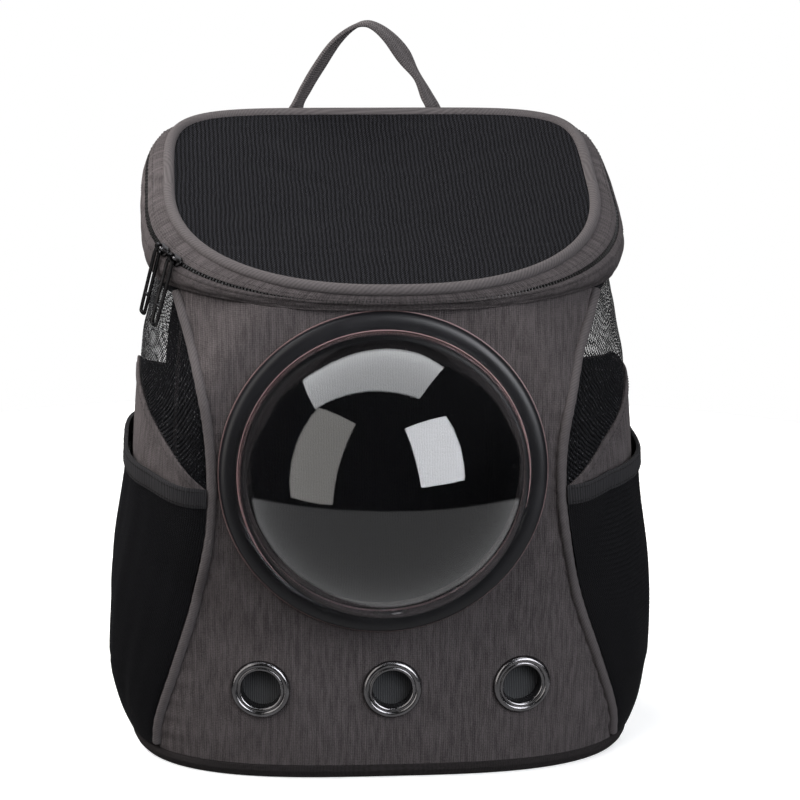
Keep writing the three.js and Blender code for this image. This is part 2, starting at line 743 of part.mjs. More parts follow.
// Eyelets: a rolled rim, a barrel through the panel and a washer lip behind it
const eyeletBarrelRadius = eyeletHoleRadius + eyeletBarrel;
const eyeletLip = eyeletOuterRadius - eyeletRoll;
const eyeletBack = -panelThickness - 2 * seamGap;
const eyeletProfile = [
  [eyeletHoleRadius, eyeletBack - eyeletBarrel],
  [eyeletHoleRadius, eyeletRise * 0.6],
  [eyeletHoleRadius + eyeletRoll, eyeletRise],
  [eyeletOuterRadius - eyeletRoll, eyeletRise * 0.9],
  [eyeletOuterRadius, seamGap],
  [eyeletBarrelRadius, seamGap],
  [eyeletBarrelRadius, eyeletBack],
  [eyeletLip, eyeletBack],
  [eyeletLip, eyeletBack - eyeletBarrel],
  [eyeletHoleRadius, eyeletBack - eyeletBarrel],
];
for (const [name, frame] of Object.entries(eyeletFrames)) {
  add(name, turned(eyeletProfile, frame, 16), materials.gunmetal);
}

// Side pockets of net with a bound upper edge, standing off the side panel in the middle, and drawn in to a
// slot at the mouth
for (const [word, side] of [["left", -1], ["right", 1]]) {
  const bindingShare = pocketBindingHeight / neckHeight;
  const standOff = (s, t) => {
    const depth = lerp(pocketDepth, pocketMouth - pocketLift, THREE.MathUtils.smoothstep(t, 0.5, 1));
    const lift = lerp(pocketFootLift, pocketLift, Math.min(1, 4 * t));
    return lift + depth * Math.sin(Math.PI * s) ** 0.7 * Math.min(1, 4 * t) ** 0.6;
  };
  const footShare = pocketFootGap / neckHeight;
  const net = sidePosition(side, () => footShare, (k) => pocketEdge(k) - bindingShare - shareGap, pocketInset);
  const netOuter = (s, t) => standOff(s, t) + netThickness;
  add(`pocket_${word}`, sheet(net, 10, 7, netOuter, standOff), materials.net);
  const binding = sidePosition(side, (k) => pocketEdge(k) - bindingShare + shareGap, pocketEdge, pocketInset);
  const bindingOuter = (s) => standOff(s, 1) - pocketBindingInset + pocketBindingThickness;
  const bindingInner = (s) => Math.max(standOff(s, 1) - pocketBindingInset, pocketLift);
  add(`pocket_binding_${word}`, sheet(binding, 10, 1, bindingOuter, bindingInner), materials.binding);
}

// A strip of webbing or padding: stations hold its middle, its width direction, width and thickness
function strip(stations, rounded) {
  const corners = rounded
    ? [[-1, -0.4], [-0.88, -1], [0.88, -1], [1, -0.4], [1, 0.4], [0.88, 1], [-0.88, 1], [-1, 0.4]]
    : [[-1, -1], [1, -1], [1, 1], [-1, 1]];
  const rings = stations.map((station, i) => {
    const before = stations[Math.max(i - 1, 0)].middle;
    const after = stations[Math.min(i + 1, stations.length - 1)].middle;
    const ahead = after.clone().sub(before).normalize();
    const across = station.across.clone().addScaledVector(ahead, -station.across.dot(ahead)).normalize();
    const out = ahead.clone().cross(across).normalize();
    return corners.map(([a, b]) =>
      station.middle
        .clone()
        .addScaledVector(across, (a * station.width) / 2)
        .addScaledVector(out, (b * station.thickness) / 2),
    );
  });
  return loft(rings);
}

// Carry handle: a webbing loop on the back of the collar, its legs turned a little
const rimBack = collarPoint(-FRONT, 1);
const handleStations = handleRoute.map(({ along: x, up, behind, turn }) => ({
  middle: rimBack
    .clone()
    .add(new THREE.Vector3(handleShift + (x * handleSpan) / 2, rimRadius + behind * handleWidth, up * handleRise)),
  across: new THREE.Vector3(Math.sin(turn * degrees), Math.cos(turn * degrees), 0),
  width: handleWidth,
  thickness: handleThickness,
}));
add("handle", strip(handleStations, false), materials.webbing);

// A point over the back panel: x from the middle plane, out from the panel's face, and its height
function onBack(x, out, height) {
  const loop = bodyLoop(heightShare(height));
  return new THREE.Vector3(x, outlinePoint(loop, outlineAngle(loop, x, "back")).y + out, height);
}

const sideways = new THREE.Vector3(1, 0, 0);

// The way a strip faces where it runs ahead: away from the bag on the back
const facing = (ahead) => {
  const across = sideways.clone().addScaledVector(ahead, -ahead.x).normalize();
  return across.cross(ahead).normalize();
};

// A ladder buckle: a flat frame with three bars and two slots, its middle at place
const buckleHeight = 3 * buckleBar + 2 * buckleSlot;
const buckleWidth = webbingWidth + 2 * (buckleBar + buckleRoom);
const barSpacing = buckleBar + buckleSlot;

function rectangle(halfWidth, low, high, Path = THREE.Shape) {
  const path = new Path();
  path.moveTo(-halfWidth, low);
  path.lineTo(halfWidth, low);
  path.lineTo(halfWidth, high);
  path.lineTo(-halfWidth, high);
  path.closePath();
  return path;
}

function buckle(place, upward) {
  const frame = rectangle(buckleWidth / 2, -buckleHeight / 2, buckleHeight / 2);
  for (const sign of [-1, 1]) {
    const low = (sign * barSpacing) / 2 - buckleSlot / 2;
    frame.holes.push(rectangle(webbingWidth / 2 + buckleRoom, low, low + buckleSlot, THREE.Path));
  }
  const geometry = new THREE.ExtrudeGeometry(frame, { depth: buckleThickness, bevelEnabled: false });
  geometry.translate(0, 0, -buckleThickness / 2);
  const out = facing(upward);
  const basis = new THREE.Matrix4().makeBasis(upward.clone().cross(out), upward, out);
  geometry.applyMatrix4(basis.setPosition(place));
  return outward(geometry);
}

// Shoulder straps: padded, each with webbing sewn on its end that runs through a buckle to the lower corner
for (const [word, side] of [["left", -1], ["right", 1]]) {
  const curve = new THREE.CatmullRomCurve3(
    strapRoute.map(({ x, out, up }) =>
      onBack(side * x * baseHalfWidth, strapThickness / 2 + seamGap + out * strapBow, up * neckHeight),
    ),
  );
  const padding = curve.getSpacedPoints(12).map((middle) => ({
    middle,
    across: sideways,
    width: strapWidth,
    thickness: strapThickness,
  }));
  add(`shoulder_strap_${word}`, strip(padding, true), materials.canvas);

  const footX = side * webbingFootShares.x * baseHalfWidth;
  const footHeight = webbingFootShares.up * neckHeight;
  const onPanel = (x, height) => onBack(x, webbingThickness / 2 + 2 * seamGap, height);
  const end = curve.getPoint(1);
  const foot = onPanel(footX, footHeight);
  const upward = end.clone().sub(foot).normalize();
  const out = facing(upward);
  const buckleMiddle = end.clone().addScaledVector(upward, -buckleHeight / 2 - buckleHang);
  add(`strap_buckle_${word}`, buckle(buckleMiddle, upward), materials.buckle);

  const acrossBack = onPanel(footX + 1, footHeight).sub(foot);
  const acrossBuckle = upward.clone().cross(out);
  const heel = onPanel(footX, footHeight - webbingHeel);
  const route = [heel, foot].map((middle) => ({ middle, across: acrossBack }));
  for (const step of weaveSteps) {
    const reach = (step * barSpacing) / 6;
    const woven = webbingLift * Math.cos((Math.PI * (reach + barSpacing)) / barSpacing);
    const lift = step < -6 ? webbingLift * THREE.MathUtils.smoothstep(step, -16, -6) : woven;
    const place = buckleMiddle.clone().addScaledVector(upward, reach).addScaledVector(out, lift);
    route.push({ middle: place, across: acrossBuckle });
  }
  const strapLength = curve.getLength();
  const overStrap = (strapThickness + webbingThickness) / 2 + 3 * seamGap;
  for (let step = 0; step <= 4; step += 1) {
    const share = 1 - (step * webbingOnStrap) / 4 / strapLength;
    const back = curve.getTangentAt(share).negate();
    route.push({ middle: curve.getPointAt(share).addScaledVector(facing(back), overStrap), across: sideways });
  }
  const webbing = route.map((station) => ({ ...station, width: webbingWidth, thickness: webbingThickness }));
  add(`strap_webbing_${word}`, strip(webbing, false), materials.webbing);
}

// Zip sliders and their pulls. A slider's frame: tangent along the zip, up across it, and out of the bag
const zipMiddle = (zipLowerShare + zipUpperShare) / 2;

function zipFrame(angle) {
  const step = 0.01;
  const tangent = collarPoint(angle + step, zipMiddle).sub(collarPoint(angle - step, zipMiddle)).normalize();
  const across = collarPoint(angle, zipMiddle + step).sub(collarPoint(angle, zipMiddle - step));
  const out = tangent.clone().cross(across).normalize();
  return { place: collarPoint(angle, zipMiddle), tangent, up: out.clone().cross(tangent), out };
}

const placed = (geometry, x, y, z, place) =>
  geometry.applyMatrix4(new THREE.Matrix4().makeBasis(x, y, z).setPosition(place));

const sliderFoot = coilRaise + sliderLift;
const bailHeight = sliderFoot + sliderThickness + bailRise;

function slider(frame) {
  const plate = new THREE.Shape();
  plate.absellipse(0, 0, sliderLength / 2, sliderWidth / 2, 0, fullTurn);
  const body = new THREE.ExtrudeGeometry(plate, { depth: sliderThickness, bevelEnabled: false, curveSegments: 8 });
  body.translate(0, 0, sliderFoot);
  const half = bailSpan / 2;
  const foot = bailHeight - bailRise - sliderThickness / 2;
  const bail = new THREE.CatmullRomCurve3(
    [
      [-half, foot],
      [-half, bailHeight - bailCorner],
      [-half + bailCorner, bailHeight],
      [half - bailCorner, bailHeight],
      [half, bailHeight - bailCorner],
      [half, foot],
    ].map(([x, z]) => new THREE.Vector3(x, 0, z)),
    false,
    "catmullrom",
    0.1,
  );
  const arch = new THREE.ExtrudeGeometry(polygon(bailRadius, 5), { extrudePath: bail, steps: 11, bevelEnabled: false });
  const joined = geometryOf(solidOf(body).add(solidOf(arch)));
  return placed(joined, frame.tangent, frame.up, frame.out, frame.place);
}

// A pull hangs plumb from its bail but leans out over the collar. It is an eye round the bail and a long wire
// loop with a cross bar.
function pullFrame(frame) {
  const plumb = new THREE.Vector3(0, 0, -1);
  plumb.addScaledVector(frame.tangent, -plumb.dot(frame.tangent)).normalize();
  const away = plumb.clone().cross(frame.tangent).normalize();
  if (away.dot(frame.out) < 0) away.negate();
  const lean = pullLean * degrees;
  const hang = plumb.multiplyScalar(Math.cos(lean)).addScaledVector(away, Math.sin(lean));
  const pin = frame.place.clone().addScaledVector(frame.out, bailHeight);
  return { hang, across: frame.tangent.clone().cross(hang), pin };
}

function pull(frame) {
  const eyeInner = bailRadius + pullEyeGap;
  const eyeOuter = eyeInner + pullEyeWall;
  const eyeShape = new THREE.Shape().absarc(0, 0, eyeOuter, 0, fullTurn);
  eyeShape.holes.push(new THREE.Path().absarc(0, 0, eyeInner, 0, fullTurn));
  const eye = new THREE.ExtrudeGeometry(eyeShape, { depth: pullEyeWidth, bevelEnabled: false, curveSegments: 7 });
  eye.translate(0, 0, -pullEyeWidth / 2);
  eye.rotateY(Math.PI / 2);

  const top = eyeInner + pullEyeWall / 2;
  const loop = new THREE.Shape();
  const half = pullWidth / 2;
  loop.moveTo(-half + pullCorner, top);
  loop.lineTo(half - pullCorner, top);
  loop.lineTo(half, top + pullCorner);
  loop.lineTo(half, pullLength - pullCorner);
  loop.lineTo(half - pullCorner, pullLength);
  loop.lineTo(-half + pullCorner, pullLength);
  loop.lineTo(-half, pullLength - pullCorner);
  loop.lineTo(-half, top + pullCorner);
  loop.closePath();
  const inner = half - pullWire;
  loop.holes.push(rectangle(inner, top + pullWire, pullBarPlace, THREE.Path));
  loop.holes.push(rectangle(inner, pullBarPlace + pullWire, pullLength - pullWire, THREE.Path));
  const wire = new THREE.ExtrudeGeometry(loop, { depth: pullThickness, bevelEnabled: false });
  wire.translate(0, 0, -pullThickness / 2);
  const { hang, across, pin } = pullFrame(frame);
  return placed(geometryOf(solidOf(eye).add(solidOf(wire))), frame.tangent, hang, across, pin);
}

for (const [index, angle] of sliderAngles.entries()) {
  const frame = zipFrame(angle * degrees);
  add(`slider_${index + 1}`, slider(frame), materials.gunmetal);
  add(`pull_${index + 1}`, pull(frame), materials.gunmetal);
}

// The origin goes to the middle of the bounding box, at floor height.
const bounds = new THREE.Box3().setFromObject(carrier);
const middle = bounds.getCenter(new THREE.Vector3());
for (const mesh of carrier.children) mesh.geometry.translate(-middle.x, -middle.y, -bounds.min.z);

export default carrier;
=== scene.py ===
"""Looks of a bubble pet carrier backpack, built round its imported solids."""
import math

import bpy
import numpy as np
from mathutils import Matrix, Vector


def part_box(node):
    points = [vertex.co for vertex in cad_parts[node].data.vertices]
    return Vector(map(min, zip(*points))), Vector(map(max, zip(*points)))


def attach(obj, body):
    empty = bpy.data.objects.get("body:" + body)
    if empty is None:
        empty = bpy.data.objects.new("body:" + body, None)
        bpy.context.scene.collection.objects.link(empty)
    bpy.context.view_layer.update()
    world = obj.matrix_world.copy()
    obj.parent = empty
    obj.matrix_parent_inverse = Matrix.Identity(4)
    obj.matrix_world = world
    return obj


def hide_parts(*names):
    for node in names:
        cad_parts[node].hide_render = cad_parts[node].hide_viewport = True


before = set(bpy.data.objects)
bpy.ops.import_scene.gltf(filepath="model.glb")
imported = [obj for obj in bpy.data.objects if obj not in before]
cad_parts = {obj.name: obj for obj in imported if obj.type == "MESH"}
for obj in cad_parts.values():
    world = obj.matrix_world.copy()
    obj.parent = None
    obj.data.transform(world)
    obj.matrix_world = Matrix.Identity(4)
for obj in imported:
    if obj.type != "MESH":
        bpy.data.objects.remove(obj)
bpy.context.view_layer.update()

bl_info = {
    "name": "Bubble pet carrier backpack",
    "version": (1, 0, 0),
    "blender": (4, 5, 0),
    "location": "View3D > Sidebar > Carrier",
    "description": "Builds the cloth, nets, dome and hardware of a pet carrier backpack",
    "category": "Add Mesh",
}

# The bag's own measures in metres, as its solids have them
BASE_HALF_WIDTH = 0.160
FRONT_DEPTH = 0.108
BACK_DEPTH = 0.088
BASE_HEIGHT = 0.009
NECK_HEIGHT = 0.291
NECK_RISE = 0.006
PANEL_THICKNESS = 0.004
NET_INSET = 0.0005
SEAM_GAP = 0.0003
PIPING_RADIUS = 0.003
PIPING_STAND_OUT = 0.0006
RIM_FRONT_RISE = 0.0123
RIM_BACK_RISE = 0.0887
ZIP_DROP_FRONT = 0.0075
ZIP_DROP_BACK = 0.014
BAND_THICKNESS = 0.002
RIM_RADIUS = 0.003
NET_SAG = 0.003
COIL_RAISE = 0.0012
TAPE_INSET = 0.0004
DOME_SHIFT = -0.006
DOME_TOP_GAP = 0.0008
DOME_RADIUS = 0.086
DOME_HEIGHT = 0.080
DOME_WALL = 0.002
DOME_FLANGE = 0.006
RING_WIDTH = 0.0112
RING_THICKNESS = 0.0065
RING_FLAT = 0.014
RING_SEAT = 0.040
SEAT_GAP = 0.0006
WAIST_ROOM = 0.0068
EYELET_HEIGHT_SHARE = 0.576
EYELET_SPACING = 0.079
EYELET_HOLE = 0.0118
EYELET_OUTER = 0.018
EYELET_RISE = 0.003
EYELET_FLAT = 0.006
EYELET_SEAT = 0.010
POCKET_DEPTH = 0.009
POCKET_LIFT = 0.0015
POCKET_FOOT_LIFT = 0.0009
POCKET_MOUTH = 0.0036
POCKET_INSET = 0.0032
POCKET_BINDING_HEIGHT = 0.012
POCKET_BINDING_THICKNESS = 0.0026
POCKET_BINDING_INSET = 0.0006
HANDLE_SPAN = 0.088
HANDLE_RISE = 0.055
HANDLE_SHIFT = -0.004
HANDLE_WIDTH = 0.018
HANDLE_THICKNESS = 0.003
STRAP_WIDTH = 0.058
STRAP_THICKNESS = 0.009
STRAP_BOW = 0.033
WEBBING_WIDTH = 0.025
WEBBING_THICKNESS = 0.0018
WEBBING_LIFT = 0.0034
WEBBING_HEEL = 0.014
WEBBING_ON_STRAP = 0.034
BUCKLE_BAR = 0.0035
BUCKLE_SLOT = 0.007
BUCKLE_HANG = 0.003
SLIDER_LENGTH = 0.011
SLIDER_WIDTH = 0.0075
SLIDER_LIFT = 0.0004
SLIDER_THICKNESS = 0.0022
BAIL_RADIUS = 0.0008
BAIL_RISE = 0.0036
BAIL_SPAN = 0.0066
PULL_LENGTH = 0.046
PULL_WIDTH = 0.007
PULL_WIRE = 0.0011
PULL_BAR = 0.0313
PULL_EYE_GAP = 0.0004
PULL_LEAN = 5
SLIDER_ANGLES = (-155, -148)
ZIP_LOWER = 0.59
ZIP_UPPER = 0.7
ZIP_END_ANGLE = 45
ZIP_COVER = 0.02
ZIP_COVER_MIDDLE = 0.052
PIPING_COVER = 0.0016
BACK_SEAM_SHARE = 0.86

# Details that the solids leave out, in metres
THREAD_LIFT = 0.0001
STITCH_LENGTH = 0.0022
STITCH_RADIUS = 0.00032
HEM_HEIGHT = 0.006
HEM_OVERLAP = 0.001
HEM_LIFT = 0.0007
HEM_THICKNESS = 0.0016
HEM_ROUNDING = 0.0005
SIDE_WALL = 0.0024
SIDE_WALL_ROUNDING = 0.0008
WINDOW_NET_THICKNESS = 0.0001
WINDOW_NET_LIFT = -0.0006
LID_NET_THICKNESS = 0.00012
POCKET_NET_THICKNESS = 0.0007
POCKET_NET_LIFT = 0.0008
POCKET_BACK_GAP = 0.001
ELASTIC_THICKNESS = 0.0022
ELASTIC_ROUNDING = 0.0006
WELT_REACH = 0.0034
WELT_THICKNESS = 0.0012
SEAM_TAPE_REACH = 0.006
SEAM_TAPE_THICKNESS = 0.0008
ZIP_TAPE_THICKNESS = 0.001
TOOTH_WIDTH = 0.0031
TOOTH_RISE = 0.0014
TOOTH_ROUNDING = 0.0003
TOOTH_SWAY = 0.00045
TOOTH_SINK = 0.0007
BACK_PAD_THICKNESS = 0.0065
BACK_PAD_SWELL = 0.0022
BACK_PAD_SINK = 0.0012
STRAP_SWELL_CAP = 0.0016
STRAP_EDGING_RADIUS = 0.0017
STRAP_STITCH_INSET = 0.0055
CUTTER_DEPTH = 0.05
EYELET_PLAY = 0.0012
SLIDER_ROUNDING = 0.0006
PULL_CORNER = 0.0021
PULL_EYE_WIRE = 0.00055
PULL_EYE_SHIFT = 0.0006

# Height, width, front, back, seam, sway, power of the front corners, power of the back corners
BODY = np.array([
    (0.00, 0.985, 0.985, 0.985, 0.671, 0.00, 3.0, 4.2),
    (0.07, 1.000, 1.000, 1.000, 0.643, 0.00, 3.0, 4.2),
    (0.20, 1.000, 1.000, 1.000, 0.443, 0.13, 3.1, 4.2),
    (0.36, 0.990, 0.985, 1.000, 0.186, 0.37, 3.3, 4.2),
    (0.52, 0.975, 0.968, 1.000, 0.029, 0.53, 3.5, 4.2),
    (0.68, 0.960, 0.952, 1.000, 0.000, 0.64, 3.4, 4.2),
    (0.84, 0.930, 0.938, 1.000, 0.129, 0.48, 3.0, 4.1),
    (1.00, 0.870, 0.930, 1.000, 0.386, 0.21, 2.7, 4.0),
])
# Height, width, front, back, band, cap, power of the front corners, power of the back corners
COLLAR = np.array([
    (0.00, 1.010, 1.020, 1.000, 0.00, 0.00, 2.70, 4.4),
    (0.18, 1.045, 1.028, 1.015, 0.28, 0.00, 2.70, 5.0),
    (0.36, 1.062, 1.034, 1.020, 0.60, 0.00, 2.65, 5.5),
    (0.50, 1.055, 1.038, 1.010, 0.84, 0.00, 2.60, 5.8),
    (0.62, 1.035, 1.041, 1.000, 0.97, 0.08, 2.50, 6.0),
    (0.74, 1.010, 1.042, 0.985, 1.00, 0.40, 2.45, 6.0),
    (0.88, 0.972, 1.041, 0.950, 1.00, 0.82, 2.40, 5.8),
    (1.00, 0.936, 1.036, 0.910, 1.00, 1.00, 2.35, 5.6),
])
# From the front seam to the back one: share, pocket's edge, canvas's edge
SIDE_EDGES = np.array([
    (0.00, 0.612, 0.600),
    (0.25, 0.622, 0.710),
    (0.50, 0.630, 0.785),
    (0.75, 0.630, 0.750),
    (1.00, 0.630, 0.720),
])
# Share of the way, along, up, behind, turn
HANDLE = np.array([
    (0.000, -1.02, -0.32, 0.42, 90),
    (0.045, -1.02, -0.18, 0.50, 80),
    (0.110, -1.00, 0.02, 0.61, 30),
    (0.185, -0.87, 0.24, 0.61, 28),
    (0.275, -0.68, 0.50, 0.55, 30),
    (0.385, -0.42, 0.80, 0.50, 26),
    (0.475, -0.14, 0.98, 0.50, 18),
    (0.530, 0.06, 1.00, 0.50, 16),
    (0.605, 0.30, 0.88, 0.50, 26),
    (0.705, 0.56, 0.64, 0.55, 34),
    (0.790, 0.76, 0.40, 0.61, 14),
    (0.865, 0.90, 0.18, 0.61, 24),
    (0.915, 1.00, 0.02, 0.61, 32),
    (0.965, 1.02, -0.18, 0.50, 80),
    (1.000, 1.02, -0.32, 0.42, 90),
])
# Share of the way, across, out, up
STRAP = np.array([
    (0.000, 0.30, 0.00, 0.986),
    (0.085, 0.30, 0.00, 0.928),
    (0.240, 0.32, 0.33, 0.838),
    (0.450, 0.36, 0.82, 0.715),
    (0.640, 0.41, 1.00, 0.591),
    (0.820, 0.46, 0.91, 0.474),
    (1.000, 0.51, 0.64, 0.364),
])
WEBBING_FOOT = (0.675, 0.103)
WEAVE_STEPS = (-16, -11, -6, -4.5, -3, -1.5, 0, 1.5, 3, 4.5, 6)

FRONT = -math.pi / 2
SIDES = (("left", -1), ("right", 1))


# The bag's surfaces
def along(table, column, share):
    """The column's value where the first column is share, on a smooth curve through the rows."""
    at, values = table[:, 0], table[:, column]
    share = np.asarray(share, float)
    last = len(at) - 1
    after, before = np.minimum(np.arange(last + 1) + 1, last), np.maximum(np.arange(last + 1) - 1, 0)
    slopes = (values[after] - values[before]) / (at[after] - at[before])
    i = np.clip(np.searchsorted(at, share, side="left") - 1, 0, last - 1)
    step = at[i + 1] - at[i]
    t = (share - at[i]) / step
    rise = values[i + 1] - values[i]
    m0, m1 = slopes[i] * step, slopes[i + 1] * step
    return values[i] + t * (m0 + t * (3 * rise - 2 * m0 - m1 + t * (m0 + m1 - 2 * rise)))


def lerp(a, b, share):
    return a + (b - a) * share


def smoothstep(value, low, high):
    t = np.clip((value - low) / (high - low), 0, 1)
    return t * t * (3 - 2 * t)


def signed_power(value, power):
    return np.sign(value) * np.abs(value) ** power


def outline(loop, angle):
    """x and y of a bowed rectangle's outline at an angle."""
    half_width, front, back, front_power, back_power = loop
    c, s = np.cos(angle), np.sin(angle)
    power = 2 / np.where(s < 0, front_power, back_power)
    return half_width * signed_power(c, power), np.where(s < 0, front, back) * signed_power(s, power)


def outline_angle(loop, x, place):
    power = (loop[3] if place == "front" else loop[4]) / 2
    turn = np.arccos(signed_power(np.clip(x / loop[0], -1, 1), power))
    return -turn if place == "front" else turn


def body_loop(share):
    return (
        along(BODY, 1, share) * BASE_HALF_WIDTH,
        along(BODY, 2, share) * FRONT_DEPTH,
        along(BODY, 3, share) * BACK_DEPTH,
        along(BODY, 6, share),
        along(BODY, 7, share),
    )


def neck_line(x):
    return NECK_HEIGHT + NECK_RISE * smoothstep(np.abs(x) / BASE_HALF_WIDTH, 0.25, 0.85)


def soft_point(angle, share):
    x, y = outline(body_loop(share), angle)
    foot = BASE_HEIGHT + SEAM_GAP
    return np.stack([x, y, lerp(foot, neck_line(x), share) + 0 * x], -1)


def height_share(height):
    foot = BASE_HEIGHT + SEAM_GAP
    return (height - foot) / (NECK_HEIGHT - foot)


class Seat:
    """A flat in the front under a stiff round piece: flat out to hold, then fading to reach."""

    def __init__(self, x, height, span, hold, reach):
        def depth(dx, dz):
            share = height_share(height + dz)
            return float(soft_point(outline_angle(body_loop(share), x + dx, "front"), share)[1])

        self.place = np.array([x, (depth(-span, 0) + depth(span, 0)) / 2, height])
        self.slope_x = (depth(span, 0) - depth(-span, 0)) / (2 * span)
        self.slope_z = (depth(0, span) - depth(0, -span)) / (2 * span)
        self.out = Vector((self.slope_x, -1, self.slope_z)).normalized()
        self.hold, self.reach = hold, reach

    def matrix(self):
        turn = Vector((0, 0, 1)).rotation_difference(self.out).to_matrix().to_4x4()
        return Matrix.Translation(Vector(self.place)) @ turn


RING_OUTER = DOME_RADIUS + RING_WIDTH
DOME_CENTRE_HEIGHT = NECK_HEIGHT - DOME_TOP_GAP - RING_OUTER
WAIST_HALF_WIDTH = RING_OUTER + WAIST_ROOM
EYELET_HEIGHT = lerp(BASE_HEIGHT, DOME_CENTRE_HEIGHT - RING_OUTER, EYELET_HEIGHT_SHARE)
DOME_SEAT = Seat(
    DOME_SHIFT, DOME_CENTRE_HEIGHT, DOME_RADIUS / 2, RING_OUTER + RING_FLAT, RING_OUTER + RING_SEAT
)
EYELET_SEATS = {
    f"eyelet_{word}": Seat(
        side * EYELET_SPACING,
        EYELET_HEIGHT,
        EYELET_OUTER / 2,
        EYELET_OUTER + EYELET_FLAT,
        EYELET_OUTER + EYELET_SEAT,
    )
    for word, side in (("left", -1), ("middle", 0), ("right", 1))
}
SEATS = (DOME_SEAT, *EYELET_SEATS.values())


def body_point(angle, share):
    """The bag's surface, flat under what is stiff."""
    point = soft_point(angle, share)
    for seat in SEATS:
        dx, dz = point[..., 0] - seat.place[0], point[..., 2] - seat.place[2]
        held = (1 - smoothstep(np.hypot(dx, dz), seat.hold, seat.reach)) * (point[..., 1] <= 0)
        flat = seat.place[1] + seat.slope_x * dx + seat.slope_z * dz
        point[..., 1] = lerp(point[..., 1], flat, held)
    return point


def seam_angle(share, side, place, distance):
    loop = body_loop(share)
    if place == "front":
        reach = lerp(WAIST_HALF_WIDTH, BASE_HALF_WIDTH, along(BODY, 4, share))
        x = side * reach + along(BODY, 5, share) * DOME_SHIFT
    else:
        x = side * BACK_SEAM_SHARE * loop[0]
    angle = outline_angle(loop, x, place)
    step = 0.01
    ax, ay = outline(loop, angle - step)
    bx, by = outline(loop, angle + step)
    return angle + distance * 2 * step / np.hypot(bx - ax, by - ay)


def front_surface(room):
    def place(s, t):
        loop = body_loop(t)
        low, _ = outline(loop, seam_angle(t, -1, "front", room))
        high, _ = outline(loop, seam_angle(t, 1, "front", -room))
        return body_point(outline_angle(loop, lerp(low, high, s), "front"), t)

    return place


def side_surface(side, low, high, front_room, back_room):
    """A side from its front seam to its back seam, between two edges given as functions of the way."""

    def place(s, t):
        way = s if side > 0 else 1 - s
        share = lerp(low(way), high(way), t)
        front = seam_angle(share, side, "front", side * front_room)
        back = seam_angle(share, side, "back", -side * back_room)
        if side < 0:
            back = back - 2 * math.pi
        return body_point(lerp(front, back, way), share)

    return place


def back_surface(s, t):
    start, end = seam_angle(t, 1, "back", SEAM_GAP), seam_angle(t, -1, "back", -SEAM_GAP)
    return body_point(lerp(start, end, s), t)


def window_edge(way):
    return along(SIDE_EDGES, 2, way)


def pocket_edge(way):
    return along(SIDE_EDGES, 1, way)


NECK = [float(v) for v in body_loop(1.0)]


def collar_loop(share):
    return (
        along(COLLAR, 1, share) * NECK[0],
        along(COLLAR, 2, share) * NECK[1],
        along(COLLAR, 3, share) * NECK[2],
        along(COLLAR, 6, share),
        along(COLLAR, 7, share),
    )


RIM_FRONT, RIM_BACK = (float(v) for v in collar_loop(1.0)[1:3])


def collar_point(angle, share):
    loop = collar_loop(share)
    x, y = outline(loop, angle)
    drop = lerp(ZIP_DROP_FRONT, ZIP_DROP_BACK, (y + loop[1]) / (loop[1] + loop[2]))
    foot = neck_line(x) + SEAM_GAP
    rim = NECK_HEIGHT + lerp(RIM_FRONT_RISE, RIM_BACK_RISE, (y + RIM_FRONT) / (RIM_FRONT + RIM_BACK))
    z = foot + along(COLLAR, 4, share) * (rim - drop - foot) + along(COLLAR, 5, share) * drop
    return np.stack([x, y, z], -1)


def share_at(angle, share, distance):
    """The share at a distance from another one on the collar, up if the distance is positive."""
    start = collar_point(angle, np.full_like(angle, share))
    near, far = np.zeros_like(angle), np.full_like(angle, 0.4)
    way = math.copysign(1, distance)
    for _ in range(14):
        half = (near + far) / 2
        gone = np.linalg.norm(collar_point(angle, share + way * half) - start, axis=-1) < abs(distance)
        near, far = np.where(gone, half, near), np.where(gone, far, half)
    return share + way * far


def collar_run(low, low_gap, high, high_gap, start, end):
    def place(s, t):
        angle = lerp(start, end, s) + 0 * t
        start_share = low(angle) if callable(low) else low
        end_share = high(angle) if callable(high) else high
        foot = share_at(angle, start_share, low_gap) if low_gap else start_share
        head = share_at(angle, end_share, -high_gap) if high_gap else end_share
        return collar_point(angle, lerp(foot, head, t))

    return place


def zip_cover(angle):
    """How far a band's edge lies over the zip, as a share of the collar: most at the middle of the front."""
    return lerp(ZIP_COVER, ZIP_COVER_MIDDLE, smoothstep(np.cos(angle - FRONT), 0.82, 0.97))


WHOLE_TURN = (FRONT, FRONT + 2 * math.pi)
ZIP_START = math.radians(ZIP_END_ANGLE - 270)
ZIP_END = math.radians(90 - ZIP_END_ANGLE)


def normals(surface, s, t, ring=False):
    step = 1e-3
    s0, s1 = (s - step, s + step) if ring else (np.maximum(s - step, 0), np.minimum(s + step, 1))
    right = surface(s1, t) - surface(s0, t)
    up = surface(s, np.minimum(t + step, 1)) - surface(s, np.maximum(t - step, 0))
    out = np.cross(right, up)
    return out / np.maximum(np.linalg.norm(out, axis=-1, keepdims=True), 1e-12)


def raised(surface, height, ring=False):
    """A surface moved out along its normal by a height, which may be a function of s and t."""

    def place(s, t):
        lift = height(s, t) if callable(height) else height
        return surface(s, t) + normals(surface, s, t, ring) * np.reshape(lift + 0 * s, (-1, 1))

    return place


def waves(*terms):
    """A sum of sines of s and t: each term is height, turns along s, turns along t, phase."""

    def height(s, t):
        return sum(a * np.sin(2 * math.pi * (p * s + q * t) + phase) for a, p, q, phase in terms)

    return height


def tube(centre, radius, sides_out):
    """A surface round a line: centre(t), and sides_out(t), its two cross directions."""

    def place(s, t):
        out, across = sides_out(t)
        turn = -2 * math.pi * s[:, None]
        return centre(t) + radius * (np.cos(turn) * out + np.sin(turn) * across)

    return place


